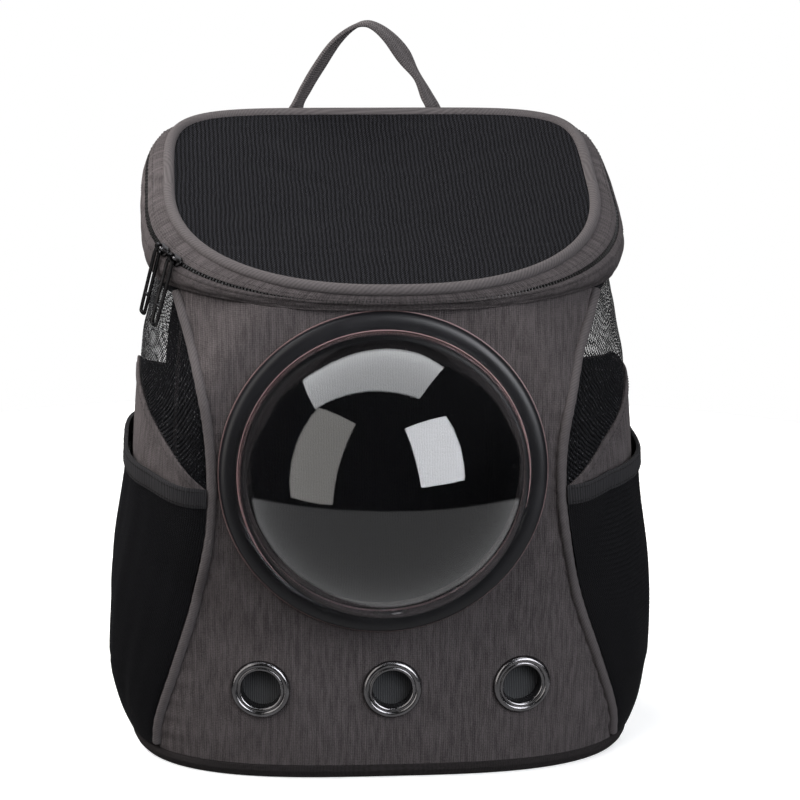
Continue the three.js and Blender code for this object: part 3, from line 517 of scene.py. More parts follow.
# Where the solids' frame has its origin, read from the base
base_low, base_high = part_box("base")
BASE_SHIFT = (FRONT_DEPTH - BACK_DEPTH) * float(BODY[0, 2]) / 2
ORIGIN = np.array([(base_low.x + base_high.x) / 2, (base_low.y + base_high.y) / 2 + BASE_SHIFT, 0])


# Modelling helpers
def select_only(piece=None):
    if bpy.context.object and bpy.context.object.mode != "OBJECT":
        bpy.ops.object.mode_set(mode="OBJECT")
    bpy.ops.object.select_all(action="DESELECT")
    if piece:
        piece.select_set(True)
        bpy.context.view_layer.objects.active = piece


def read_points(mesh):
    flat = np.empty(len(mesh.vertices) * 3)
    mesh.vertices.foreach_get("co", flat)
    return flat.reshape(-1, 3)


def write_points(mesh, points):
    mesh.vertices.foreach_set("co", np.asarray(points, np.float32).ravel())
    mesh.update()


def write_uv(mesh, uv):
    """Sets the UV map from one pair for each vertex."""
    loops = np.empty(len(mesh.loops), np.int32)
    mesh.loops.foreach_get("vertex_index", loops)
    layer = mesh.uv_layers.active or mesh.uv_layers.new(name="UVMap")
    layer.data.foreach_set("uv", np.asarray(uv, np.float32)[loops].ravel())


def edit(piece, *steps):
    """Runs mesh operators on all of a piece in edit mode."""
    select_only(piece)
    bpy.ops.object.mode_set(mode="EDIT")
    bpy.ops.mesh.select_all(action="SELECT")
    for step in steps:
        step()
    bpy.ops.object.mode_set(mode="OBJECT")


def merge():
    bpy.ops.mesh.remove_doubles(threshold=2e-6)


def face_out():
    bpy.ops.mesh.normals_make_consistent(inside=False)


def close_ends():
    bpy.ops.mesh.select_all(action="DESELECT")
    bpy.ops.mesh.select_non_manifold()
    bpy.ops.mesh.fill_holes(sides=0)


def modify(piece, kind, **settings):
    select_only(piece)
    modifier = piece.modifiers.new(kind.title(), kind)
    for name, value in settings.items():
        setattr(modifier, name, value)
    bpy.ops.object.modifier_apply(modifier=modifier.name)


def done(piece, name, replaces=(), body="bag", angle=35):
    """Names a finished piece, smooths it and ties it to the frame."""
    piece.name = name
    piece.data.name = name
    select_only(piece)
    bpy.ops.object.shade_smooth_by_angle(angle=math.radians(angle))
    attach(piece, body)
    if replaces:
        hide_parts(*replaces)
    return piece


def laid(surface, columns, rows, finishes, ring=False, flat=None):
    """A grid laid on a surface, with its UV map in metres along the cloth, or as flat(points) says."""
    select_only()
    bpy.ops.mesh.primitive_grid_add(x_subdivisions=columns, y_subdivisions=rows, size=2, calc_uvs=True)
    piece = bpy.context.object
    start = read_points(piece.data)
    s, t = np.clip((start[:, 0] + 1) / 2, 0, 1), np.clip((start[:, 1] + 1) / 2, 0, 1)
    points = surface(s, t)
    ramp, middle = np.linspace(0, 1, 129), np.full(129, 0.5)
    ways = ((ramp, middle), (middle, ramp))
    length = [np.linalg.norm(np.diff(surface(*way), axis=0), axis=1).sum() for way in ways]
    uv = flat(points) if flat else np.stack([s * length[0], t * length[1]], -1)
    write_uv(piece.data, uv)
    write_points(piece.data, points + ORIGIN)
    for finish in finishes:
        piece.data.materials.append(finish)
    if ring:
        edit(piece, merge)
    return piece


def thick(piece, thickness, lining=False, rounding=0.0):
    """Gives a laid sheet its thickness inwards, and rounds its edges."""
    lining_offset = 1 if lining else 0
    modify(piece, "SOLIDIFY", thickness=thickness, offset=-1, use_rim=True, material_offset=lining_offset)
    if rounding:
        modify(piece, "BEVEL", width=rounding, segments=2, limit_method="ANGLE", angle_limit=math.radians(60))
    return piece


def turned(profile, matrix, steps, finishes):
    """A profile of (radius, height) pairs, spun round Z and set in place."""
    select_only()
    mesh = bpy.data.meshes.new("profile")
    mesh.from_pydata([(r, 0, h) for r, h in profile], [(i, i + 1) for i in range(len(profile) - 1)], [])
    piece = bpy.data.objects.new("profile", mesh)
    bpy.context.collection.objects.link(piece)
    edit(
        piece,
        lambda: bpy.ops.mesh.spin(steps=steps, angle=2 * math.pi, center=(0, 0, 0), axis=(0, 0, 1)),
        lambda: bpy.ops.mesh.select_all(action="SELECT"),
        merge,
        face_out,
    )
    piece.data.transform(Matrix.Translation(Vector(ORIGIN)) @ matrix)
    for finish in finishes:
        piece.data.materials.append(finish)
    return piece


def wire(points, radius, closed, finishes, corners=8, smooth=True):
    """A round wire through points, made a mesh."""
    select_only()
    curve = bpy.data.curves.new("wire", "CURVE")
    curve.dimensions = "3D"
    curve.bevel_depth = radius
    curve.bevel_resolution = corners // 4
    curve.use_fill_caps = not closed
    curve.resolution_u = 5
    spline = curve.splines.new("NURBS" if smooth else "POLY")
    spline.points.add(len(points) - 1)
    for at, point in zip(spline.points, points):
        at.co = (*point, 1)
    spline.use_cyclic_u = closed
    if smooth:
        spline.order_u = 3
        spline.use_endpoint_u = not closed
    piece = bpy.data.objects.new("wire", curve)
    bpy.context.collection.objects.link(piece)
    select_only(piece)
    bpy.ops.object.convert(target="MESH")
    piece = bpy.context.object
    for finish in finishes:
        piece.data.materials.append(finish)
    return piece


def joined(*pieces):
    select_only(pieces[0])
    for piece in pieces[1:]:
        piece.select_set(True)
    bpy.ops.object.join()
    return pieces[0]


def repeated(template, matrices, finishes):
    """One mesh with a copy of the template at each matrix."""
    points = read_points(template.data)
    faces = [tuple(face.vertices) for face in template.data.polygons]
    all_points, all_faces = [], []
    for matrix in matrices:
        m = np.array(matrix)
        first = len(all_faces) and sum(len(p) for p in all_points)
        all_points.append(points @ m[:3, :3].T + m[:3, 3] + ORIGIN)
        all_faces += [tuple(first + corner for corner in face) for face in faces]
    mesh = bpy.data.meshes.new("repeated")
    mesh.from_pydata(np.concatenate(all_points).tolist(), [], all_faces)
    piece = bpy.data.objects.new("repeated", mesh)
    bpy.context.collection.objects.link(piece)
    for finish in finishes:
        mesh.materials.append(finish)
    bpy.data.objects.remove(template)
    return piece


def basis(x, y, z, place):
    """A matrix from three directions and a place."""
    return Matrix([[*row, p] for row, p in zip(np.stack([x, y, z], 1), place)] + [[0, 0, 0, 1]])


def along_line(points, pitch, start=0.5):
    """Places and directions at an even pitch along a line of points."""
    steps = np.linalg.norm(np.diff(points, axis=0), axis=1)
    way = np.concatenate([[0], np.cumsum(steps)])
    count = max(int(way[-1] / pitch), 1)
    at = (np.arange(count) + start) * way[-1] / count
    place = np.stack([np.interp(at, way, points[:, k]) for k in range(3)], -1)
    ahead = np.stack([np.interp(at + pitch / 4, way, points[:, k]) for k in range(3)], -1) - np.stack(
        [np.interp(at - pitch / 4, way, points[:, k]) for k in range(3)], -1
    )
    return at / way[-1], place, ahead / np.linalg.norm(ahead, axis=1, keepdims=True)


def stitches(rows, pitch, finish):
    """Rows of thread on cloth. Each row is its line and the normals along it, both arrays of points."""
    select_only()
    bpy.ops.mesh.primitive_uv_sphere_add(segments=6, ring_count=4, radius=1)
    template = bpy.context.object
    size = [STITCH_LENGTH / 2, STITCH_RADIUS, STITCH_RADIUS]
    write_points(template.data, read_points(template.data)[:, [2, 0, 1]] * size)
    matrices = []
    for line, out in rows:
        share, place, ahead = along_line(line, pitch)
        ramp = np.linspace(0, 1, len(out))
        up = np.stack([np.interp(share, ramp, out[:, k]) for k in range(3)], -1)
        up -= ahead * (up * ahead).sum(1, keepdims=True)
        up /= np.linalg.norm(up, axis=1, keepdims=True)
        across = np.cross(up, ahead)
        matrices += [basis(*m) for m in zip(ahead, across, up, place)]
    return repeated(template, matrices, [finish])


def surface_row(surface, s, t, lift=0.0, ring=False):
    """A line on a surface and its normals, for stitches."""
    out = normals(surface, s, t, ring)
    return surface(s, t) + out * lift, out


# Finishes
class Finish:
    """A procedural material, built node by node."""

    def __init__(self, name):
        self.material = bpy.data.materials.new(name)
        self.material.use_nodes = True
        self.tree = self.material.node_tree
        self.tree.nodes.clear()
        self.output = self.tree.nodes.new("ShaderNodeOutputMaterial")

    def node(self, kind, values=None, **settings):
        node = self.tree.nodes.new("ShaderNode" + kind)
        for name, value in settings.items():
            setattr(node, name, value)
        for key, value in (values or {}).items():
            if isinstance(value, bpy.types.NodeSocket):
                self.tree.links.new(value, node.inputs[key])
            else:
                node.inputs[key].default_value = value
        return node

    def math(self, operation, a, b=0.0, c=0.0):
        return self.node("Math", {0: a, 1: b, 2: c}, operation=operation).outputs[0]

    def coordinates(self, kind):
        """UV in metres along the cloth, or Object."""
        if kind == "UV":
            return self.node("UVMap", uv_map="UVMap").outputs["UV"]
        return self.node("TexCoord").outputs["Object"]

    def scaled(self, vector, scale, turn=0.0):
        return self.node("Mapping", {"Vector": vector, "Rotation": (0, 0, turn), "Scale": scale}).outputs[0]

    def noise(self, vector, scale, detail=2.0, roughness=0.5):
        placed = self.scaled(vector, scale)
        values = {"Vector": placed, "Scale": 1.0, "Detail": detail, "Roughness": roughness}
        return self.node("TexNoise", values).outputs[0]

    def bands(self, value, period, phase=0.0):
        """A wave from 0 to 1 along a length."""
        turned_value = self.math("MULTIPLY_ADD", value, 2 * math.pi / period, phase)
        return self.math("MULTIPLY_ADD", self.math("SINE", turned_value), 0.5, 0.5)

    def ramp(self, value, low, high, to_low=0.0, to_high=1.0):
        values = {"Value": value, "From Min": low, "From Max": high, "To Min": to_low, "To Max": to_high}
        return self.node("MapRange", values).outputs[0]

    def mix(self, share, a, b, blend="MIX"):
        node = self.node("Mix", {}, data_type="RGBA", blend_type=blend)
        for key, value in ((0, share), (6, a), (7, b)):
            if isinstance(value, bpy.types.NodeSocket):
                self.tree.links.new(value, node.inputs[key])
            else:
                node.inputs[key].default_value = value if key == 0 else (*value, 1)
        return node.outputs[2]

    def bump(self, height, distance, strength=1.0):
        values = {"Height": height, "Distance": distance, "Strength": strength}
        return self.node("Bump", values).outputs[0]

    def finish(self, values):
        shader = self.node("BsdfPrincipled", values)
        self.tree.links.new(shader.outputs[0], self.output.inputs[0])
        return self.material


def shade(colour, factor):
    return tuple(c * factor for c in colour)


def canvas_finish(name, colour, slub=1.0, weave=0.0011):
    """A plain weave with uneven, slubby threads that run up the cloth."""
    f = Finish(name)
    uv = f.coordinates("UV")
    axes = f.node("SeparateXYZ", {0: uv})
    wander = f.math("MULTIPLY_ADD", f.noise(uv, (90, 60, 1)), 0.0016, -0.0008)
    u = f.math("ADD", axes.outputs[0], wander)
    warp = f.bands(u, weave * 1.25)
    weft = f.bands(f.math("ADD", axes.outputs[1], wander), weave)
    slubs = f.noise(uv, (430, 55, 1), 3.0, 0.62)
    streaks = f.ramp(slubs, 0.36, 0.66)
    patches = f.noise(uv, (16, 13, 1), 3.0)
    cloth = f.math("ADD", f.math("MULTIPLY", warp, 0.28), f.math("MULTIPLY", weft, 0.18))
    height = f.math("ADD", cloth, f.math("MULTIPLY", streaks, 0.55 * slub))
    fleck = f.noise(uv, (1500, 800, 1), 2.0, 0.7)
    flecked = f.math("MULTIPLY_ADD", f.ramp(fleck, 0.3, 0.7), 0.5, height)
    tone = f.mix(f.ramp(flecked, 0.25, 1.3), shade(colour, 0.42), shade(colour, 1.55))
    worn = f.mix(f.ramp(patches, 0.3, 0.75, 0.0, 0.22), tone, shade(colour, 1.22))
    return f.finish({
        "Base Color": worn,
        "Roughness": 0.92,
        "Specular IOR Level": 0.15,
        "Normal": f.bump(flecked, 0.0005, 0.85),
    })


def webbing_finish(name, colour, rib=0.0016):
    """A tight ribbed webbing: ribs across it, and a fleck in each thread."""
    f = Finish(name)
    uv = f.coordinates("UV")
    axes = f.node("SeparateXYZ", {0: uv})
    ribs = f.bands(axes.outputs[1], rib)
    cords = f.bands(axes.outputs[0], rib * 1.4)
    fleck = f.noise(uv, (900, 900, 1), 2.0)
    height = f.math("ADD", f.math("MULTIPLY", ribs, 0.6), f.math("MULTIPLY", cords, 0.4))
    grain = f.math("ADD", height, f.math("MULTIPLY", fleck, 0.5))
    tone = f.mix(f.ramp(grain, 0.2, 1.3), shade(colour, 0.6), shade(colour, 1.35))
    return f.finish({
        "Base Color": tone,
        "Roughness": 0.85,
        "Specular IOR Level": 0.15,
        "Normal": f.bump(height, 0.0004, 0.8),
    })


def net_finish(name, colour, pitch, openness, coordinates="UV", rib=0.0, rib_pitch=0.0025, painted_glint_share=0.0):
    """A knitted net: staggered holes, with ribs up it where rib is over 0, and pale flecks painted into its
    colour as highlights where the last argument is over 0.
    """
    f = Finish(name)
    uv = f.coordinates(coordinates)
    axes = f.node("SeparateXYZ", {0: uv})
    wander = f.math("MULTIPLY_ADD", f.noise(uv, (55, 55, 55)), 0.0024, -0.0012)
    u = f.math("ADD", axes.outputs[0], wander)
    v = f.math("ADD", axes.outputs[1], wander)
    across = f.math("COSINE", f.math("MULTIPLY", u, 2 * math.pi / pitch))
    upward = f.math("COSINE", f.math("MULTIPLY", v, 2 * math.pi / (pitch * 1.2)))
    cells = f.math("MULTIPLY", across, upward)
    hole = f.ramp(cells, 1 - 1.35 * openness - 0.2, 1 - 1.35 * openness + 0.15)
    thread = f.noise(uv, (700, 700, 700), 2.0)
    ribs = f.bands(u, rib_pitch)
    body = f.math("ADD", f.math("MULTIPLY", ribs, rib), f.math("MULTIPLY", thread, 0.5))
    tone = f.mix(f.ramp(body, 0.25, 0.45 + rib), shade(colour, 0.12), shade(colour, 1.9))
    if painted_glint_share:
        # Painted highlights: pale grey flecks in the base colour stand for glints on the threads
        painted_glints = f.ramp(f.noise(uv, (900, 900, 900), 1.0), 0.62, 0.72)
        tone = f.mix(f.math("MULTIPLY", painted_glints, painted_glint_share), tone, (0.5, 0.5, 0.52))
    return f.finish({
        "Base Color": tone,
        "Roughness": 0.8,
        "Specular IOR Level": 0.1,
        "Alpha": f.math("SUBTRACT", 1.0, hole),
        "Normal": f.bump(f.math("SUBTRACT", body, cells), 0.0003, 0.6),
    })


def binding_finish(name, colour, pitch=0.0016):
    """Elastic binding: fine ribs across the band."""
    f = Finish(name)
    uv = f.coordinates("UV")
    axes = f.node("SeparateXYZ", {0: uv})
    ribs = f.bands(axes.outputs[0], pitch)
    fuzz = f.noise(uv, (1100, 1100, 1), 2.0)
    height = f.math("ADD", ribs, f.math("MULTIPLY", fuzz, 0.5))
    tone = f.mix(f.ramp(height, 0.2, 1.3), shade(colour, 0.55), shade(colour, 1.4))
    return f.finish({
        "Base Color": tone,
        "Roughness": 0.85,
        "Specular IOR Level": 0.12,
        "Normal": f.bump(height, 0.0003, 0.7),
    })


def rope_finish(name, colour, pitch=0.0024):
    """A bound edge: diagonal turns of thread over a cord."""
    f = Finish(name)
    uv = f.coordinates("UV")
    axes = f.node("SeparateXYZ", {0: uv})
    slant = f.math("MULTIPLY_ADD", axes.outputs[0], 0.8, axes.outputs[1])
    turns = f.bands(slant, pitch)
    fuzz = f.noise(uv, (500, 500, 1), 3.0, 0.6)
    height = f.math("ADD", f.math("MULTIPLY", turns, 0.45), f.math("MULTIPLY", fuzz, 0.7))
    tone = f.mix(f.ramp(height, 0.15, 1.0), shade(colour, 0.7), shade(colour, 1.3))
    return f.finish({
        "Base Color": tone,
        "Roughness": 0.9,
        "Specular IOR Level": 0.15,
        "Normal": f.bump(height, 0.0003, 0.6),
    })


def moulded_finish(name, colour, roughness, grain=0.00003):
    """Black moulded plastic with a fine satin grain."""
    f = Finish(name)
    place = f.coordinates("Object")
    fine = f.noise(place, (1600, 1600, 1600), 2.0)
    broad = f.noise(place, (40, 40, 40), 3.0)
    tone = f.mix(f.ramp(broad, 0.3, 0.7), shade(colour, 0.85), shade(colour, 1.2))
    return f.finish({
        "Base Color": tone,
        "Roughness": f.ramp(broad, 0.3, 0.7, roughness - 0.04, roughness + 0.05),
        "Specular IOR Level": 0.38,
        "Normal": f.bump(fine, grain, 0.5),
    })


def metal_finish(name, colour, roughness):
    """Plated dark metal with faint brush marks and tarnish."""
    f = Finish(name)
    place = f.coordinates("Object")
    marks = f.noise(place, (300, 300, 2400), 2.0)
    tarnish = f.noise(place, (120, 120, 120), 3.0)
    tone = f.mix(f.ramp(tarnish, 0.35, 0.7), shade(colour, 0.75), shade(colour, 1.15))
    return f.finish({
        "Base Color": tone,
        "Metallic": 1.0,
        "Roughness": f.ramp(tarnish, 0.3, 0.75, roughness, roughness + 0.12),
        "Normal": f.bump(marks, 0.00002, 0.4),
    })


def clear_finish(name):
    """Thin clear plastic, a little wavy."""
    f = Finish(name)
    place = f.coordinates("Object")
    wavy = f.noise(place, (9, 9, 9), 1.0)
    return f.finish({
        "Base Color": (0.93, 0.94, 0.95, 1),
        "Roughness": 0.015,
        "IOR": 1.5,
        "Transmission Weight": 1.0,
        "Normal": f.bump(wavy, 0.0008, 0.25),
    })


def plain_finish(name, colour, roughness, glow):
    """A plain pale surface with a little light of its own, so that shadows on it stay soft."""
    f = Finish(name)
    place = f.coordinates("Object")
    fine = f.noise(place, (8, 8, 8), 2.0)
    tone = f.mix(f.ramp(fine, 0.3, 0.7), shade(colour, 0.985), colour)
    return f.finish({
        "Base Color": tone,
        "Roughness": roughness,
        "Specular IOR Level": 0.1,
        "Emission Color": (1, 1, 1, 1),
        "Emission Strength": glow,
    })


FINISHES = {}


def finish(name):
    """A finish by its name, made once."""
    if name not in FINISHES:
        colours = bpy.context.scene.carrier_colours
        makers = {
            "canvas": lambda: canvas_finish("canvas", colours.canvas),
            "canvas_strap": lambda: canvas_finish("canvas_strap", colours.canvas, 0.6),
            "lining": lambda: canvas_finish("lining", colours.lining, 0.2, 0.0009),
            "piping": lambda: rope_finish("piping", colours.piping, 0.0019),
            "rim": lambda: rope_finish("rim", colours.piping),
            "lid_net": lambda: net_finish("lid_net", colours.net, 0.0017, 0.35, "Object", 0.9, 0.0026),
            "side_net": lambda: net_finish("side_net", colours.net, 0.0021, 0.72, "UV", 0.2, 0.0021, 0.2),
            "pocket_net": lambda: net_finish(
                "pocket_net", shade(colours.net, 0.6), 0.0015, 0.12, "UV", 0.35, 0.0015
            ),
            "binding": lambda: binding_finish("binding", colours.binding),
            "base": lambda: canvas_finish("base", shade(colours.canvas, 0.36), 0.6),
            "zip_tape": lambda: binding_finish("zip_tape", colours.zip_tape, 0.0012),
            "zip_teeth": lambda: moulded_finish("zip_teeth", colours.zip_tape, 0.32),
            "ring": lambda: moulded_finish("ring", colours.ring, 0.36),
            "buckle": lambda: moulded_finish("buckle", colours.ring, 0.42, 0.00006),
            "seal": lambda: moulded_finish("seal", colours.seal, 0.35),
            "edge_seal": lambda: moulded_finish("edge_seal", shade(colours.seal, 0.4), 0.4),
            "clear": lambda: clear_finish("clear"),
            "gunmetal": lambda: metal_finish("gunmetal", colours.metal, 0.18),
            "black_metal": lambda: metal_finish("black_metal", shade(colours.metal, 0.2), 0.2),
            "vent_net": lambda: binding_finish("vent_net", (0.045, 0.046, 0.048), 0.0011),
            "webbing": lambda: webbing_finish("webbing", colours.webbing),
            "dark_webbing": lambda: webbing_finish("dark_webbing", colours.binding),
            "thread": lambda: webbing_finish("thread", colours.thread, 0.0006),
            "floor": lambda: plain_finish("floor", (0.8, 0.8, 0.8), 0.7, 0.5),
        }
        FINISHES[name] = makers[name]()
    return FINISHES[name]


# Settings a user would change
def colour_property(name, description, default):
    return bpy.props.FloatVectorProperty(
        name=name, description=description, subtype="COLOR", size=3, min=0, max=1, default=default
    )


class CarrierColours(bpy.types.PropertyGroup):
    """Colours of the cloth, nets and hardware."""

    canvas: colour_property("Canvas", "Grey canvas of the walls", (0.072, 0.063, 0.064))
    lining: colour_property("Lining", "Dark inner face of the walls", (0.022, 0.022, 0.024))
    piping: colour_property("Piping", "Cord and bound rim", (0.088, 0.079, 0.08))
    net: colour_property("Net", "Black net", (0.008, 0.008, 0.0095))
    binding: colour_property("Binding", "Elastic of the pockets", (0.021, 0.0205, 0.022))
    zip_tape: colour_property("Zip", "Zip's tape and teeth", (0.01, 0.0095, 0.0095))
    ring: colour_property("Ring", "Black plastic", (0.005, 0.005, 0.006))
    seal: colour_property("Seal", "Thin seal between ring and dome", (0.42, 0.27, 0.27))
    metal: colour_property("Metal", "Dark plated metal", (0.2, 0.195, 0.2))
    webbing: colour_property("Webbing", "Grey webbing", (0.09, 0.081, 0.081))
    thread: colour_property("Thread", "Sewing thread", (0.045, 0.04, 0.04))


class CarrierSizes(bpy.types.PropertyGroup):
    """Sizes of the details."""

    stitch_pitch: bpy.props.FloatProperty(
        name="Stitch pitch", description="Distance between stitches", default=0.0034, min=0.001, unit="LENGTH"
    )
    tooth_pitch: bpy.props.FloatProperty(
        name="Tooth pitch",
        description="Distance between the zip's teeth",
        default=0.0021,
        min=0.001,
        unit="LENGTH",
    )
    fold_depth: bpy.props.FloatProperty(
        name="Fold depth", description="Depth of the pockets' folds", default=0.0013, min=0, unit="LENGTH"
    )
    strap_fill: bpy.props.FloatProperty(
        name="Strap fill",
        description="How full the straps' padding is",
        default=0.6,
        min=0,
        max=1,
        subtype="FACTOR",
    )
    floor_radius: bpy.props.FloatProperty(
        name="Floor radius", description="Size of the floor", default=0.85, min=0.4, unit="LENGTH"
    )


class CarrierOperator(bpy.types.Operator):
    """Adds pieces of the carrier"""

    bl_idname = "carrier.base_class"
    bl_label = "Carrier piece"
    bl_options = {"REGISTER", "UNDO"}

    def execute(self, context):
        self.build(context.scene.carrier_sizes)
        return {"FINISHED"}


def upright(points):
    """UV of a front wall: its own x and height, so that the weave stays plumb."""
    return points[:, [0, 2]]


def sideways(points):
    return points[:, [1, 2]]


class AddFrontPanel(CarrierOperator):
    """Adds the canvas front with its holes behind the dome and the eyelets"""

    bl_idname = "carrier.front_panel"
    bl_label = "Front panel"

    def build(self, sizes):
        def pucker(s, t):
            edge = np.exp(-np.minimum(s, 1 - s) * 24)
            seam = edge * np.sin(2 * math.pi * 22 * t + 3 * np.sin(9 * t)) * 0.0005
            foot = np.exp(-t * 30) * np.sin(2 * math.pi * 21 * s + 2 * np.sin(11 * s)) * 0.00035
            head = np.exp(-(1 - t) * 26) * np.sin(2 * math.pi * 17 * s) * 0.0003
            return (seam + foot + head) * np.clip(np.minimum(t, 1 - t) * 60, 0, 1) - 0.0001

        wall = raised(front_surface(PIPING_COVER), pucker)
        cloth = laid(wall, 150, 132, [finish("canvas"), finish("lining")], flat=upright)
        thick(cloth, PANEL_THICKNESS, lining=True)
        cutters = []
        holes = [(DOME_SEAT, DOME_RADIUS - 2 * DOME_WALL, 96)]
        holes += [(seat, EYELET_HOLE + EYELET_PLAY, 40) for seat in EYELET_SEATS.values()]
        for seat, radius, corners in holes:
            select_only()
            bpy.ops.mesh.primitive_cylinder_add(vertices=corners, radius=radius, depth=CUTTER_DEPTH)
            cutter = bpy.context.object
            cutter.data.transform(Matrix.Translation(Vector(ORIGIN)) @ seat.matrix())
            cutters.append(cutter)
        cutter = joined(*cutters)
        modify(cloth, "BOOLEAN", operation="DIFFERENCE", object=cutter, solver="EXACT")
        bpy.data.objects.remove(cutter)
        done(cloth, "front_canvas", ["front_panel"])


class AddSidePanels(CarrierOperator):
    """Adds the canvas sides and the net windows over them"""

    bl_idname = "carrier.side_panels"
    bl_label = "Sides and windows"

    def build(self, sizes):
        overlap, height = HEM_OVERLAP / NECK_HEIGHT, HEM_HEIGHT / NECK_HEIGHT
        for word, side in SIDES:
            panel = side_surface(side, lambda way: 0 * way, window_edge, PIPING_COVER, SEAM_GAP)
            cloth = laid(panel, 60, 60, [finish("canvas"), finish("lining")], flat=sideways)
            thick(cloth, SIDE_WALL, True, SIDE_WALL_ROUNDING)
            done(cloth, f"side_canvas_{word}", [f"side_panel_{word}"])
            hem = side_surface(
                side,
                lambda way: window_edge(way) - height,
                lambda way: window_edge(way) + overlap,
                PIPING_COVER,
                SEAM_GAP,
            )
            tape = laid(raised(hem, HEM_LIFT), 60, 4, [finish("canvas")])
            done(thick(tape, HEM_THICKNESS, rounding=HEM_ROUNDING), f"window_hem_{word}")
            window = side_surface(
                side,
                lambda way: window_edge(way) - 2 * overlap,
                lambda way: 1 + 0 * way,
                PIPING_COVER,
                SEAM_GAP,
            )
            ripple = waves((0.0005, 1.5, 2.0, 0.4), (0.0003, 4.0, -1.0, 1.0))
            hung = raised(window, lambda s, t, ripple=ripple: ripple(s, t) - NET_INSET + WINDOW_NET_LIFT)
            net = laid(hung, 48, 40, [finish("side_net")])
            done(thick(net, WINDOW_NET_THICKNESS), f"window_net_{word}", [f"side_net_{word}"])
            s = np.linspace(0.015, 0.985, 80)
            row = surface_row(raised(hem, HEM_LIFT), s, np.full_like(s, 0.35), THREAD_LIFT)
            done(stitches([row], sizes.stitch_pitch, finish("thread")), f"window_stitches_{word}")


class AddPockets(CarrierOperator):
    """Adds the net pockets and their elastic edges"""

    bl_idname = "carrier.pockets"
    bl_label = "Side pockets"

    def build(self, sizes):
        binding_share = POCKET_BINDING_HEIGHT / NECK_HEIGHT
        for word, side in SIDES:
            def stand_off(s, t):
                depth = lerp(POCKET_DEPTH, POCKET_MOUTH - POCKET_LIFT, smoothstep(t, 0.5, 1))
                lift = lerp(POCKET_FOOT_LIFT, POCKET_LIFT, np.minimum(1, 4 * t))
                return lift + depth * np.sin(np.pi * np.clip(s, 0, 1)) ** 0.7 * np.minimum(1, 4 * t) ** 0.6

            def folds(s, t, side=side):
                way = s if side > 0 else 1 - s
                calm = np.sin(np.pi * np.clip(s, 0, 1)) ** 0.5 * np.minimum(1, 5 * t)
                if side < 0:
                    soft = waves((0.9, 3.1, 0.25, 0.3), (0.5, 6.3, -0.4, 2.0), (0.25, 11.0, 0.6, 0.5))
                    drape = soft(way, t)
                    return sizes.fold_depth * drape * calm * lerp(1.0, 0.45, t)
                ribs = np.sin(2 * math.pi * (52 * t + 0.9 * np.sin(5 * way) + 0.35 * np.sin(14 * way)))
                reach = smoothstep(t + 0.35 * way, 0.35, 0.75)
                drape = waves((0.8, 2.2, -0.5, 1.0), (0.4, 5.0, 0.8, 0.2))(way, t)
                return (0.00045 * ribs * reach + sizes.fold_depth * 0.7 * drape) * calm

            def net_lift(s, t, folds=folds):
                return stand_off(s, t) + POCKET_NET_LIFT + folds(s, t)

            surface = side_surface(
                side,
                lambda way: 0.004 + 0 * way,
                lambda way: pocket_edge(way) - binding_share + 0.004,
                POCKET_INSET,
                POCKET_BACK_GAP,
            )
            net = laid(raised(surface, net_lift), 72, 210, [finish("pocket_net")])
            done(thick(net, POCKET_NET_THICKNESS), f"pocket_net_{word}", [f"pocket_{word}"])
            edge = side_surface(
                side, lambda way: pocket_edge(way) - binding_share, pocket_edge, POCKET_INSET, POCKET_BACK_GAP
            )

            def edge_lift(s, t):
                crown = 0.0005 * np.sin(np.pi * t) ** 0.5
                ribs = 0.00012 * np.sin(2 * math.pi * 58 * s)
                front = POCKET_BINDING_THICKNESS - POCKET_BINDING_INSET - SEAM_GAP
                return stand_off(s, np.ones_like(s)) + front + crown + ribs

            band = laid(raised(edge, edge_lift), 232, 8, [finish("binding")])
            thick(band, ELASTIC_THICKNESS, rounding=ELASTIC_ROUNDING)
            done(band, f"pocket_elastic_{word}", [f"pocket_binding_{word}"])
            s = np.linspace(0.01, 0.99, 100)
            band_surface = raised(edge, edge_lift)
            rows = [surface_row(band_surface, s, np.full_like(s, t), THREAD_LIFT) for t in (0.16, 0.84)]
            thread = stitches(rows, sizes.stitch_pitch * 0.8, finish("zip_tape"))
            done(thread, f"pocket_stitches_{word}")


class AddBase(CarrierOperator):
    """Adds the base with its rounded lower edge"""

    bl_idname = "carrier.base"
    bl_label = "Base"

    def build(self, sizes):
        # Share of the profile, height as a share, inset as a share of the height, reach from the middle
        profile = np.array([
            (0.00, 0.00, 0.0, 0.0),
            (0.40, 0.00, 0.55, 1.0),
            (0.48, 0.07, 0.27, 1.0),
            (0.56, 0.25, 0.10, 1.0),
            (0.66, 0.60, -0.07, 1.0),
            (0.76, 0.93, -0.03, 1.0),
            (0.80, 1.00, 0.06, 1.0),
            (1.00, 0.98, 0.5, 0.0),
        ])

        def place(s, t):
            angle = 2 * math.pi * s - math.pi
            x, y = outline(body_loop(0 * s), angle)
            inset, reach = (np.interp(t, profile[:, 0], profile[:, k]) for k in (2, 3))
            height = np.interp(t, profile[:, 0], profile[:, 1])
            size = reach * (1 - inset * BASE_HEIGHT / np.hypot(x, y))
            return np.stack([x * size, y * size, height * BASE_HEIGHT], -1)

        base = laid(place, 240, 75, [finish("base")], ring=True)
        done(base, "base_canvas", ["base"])


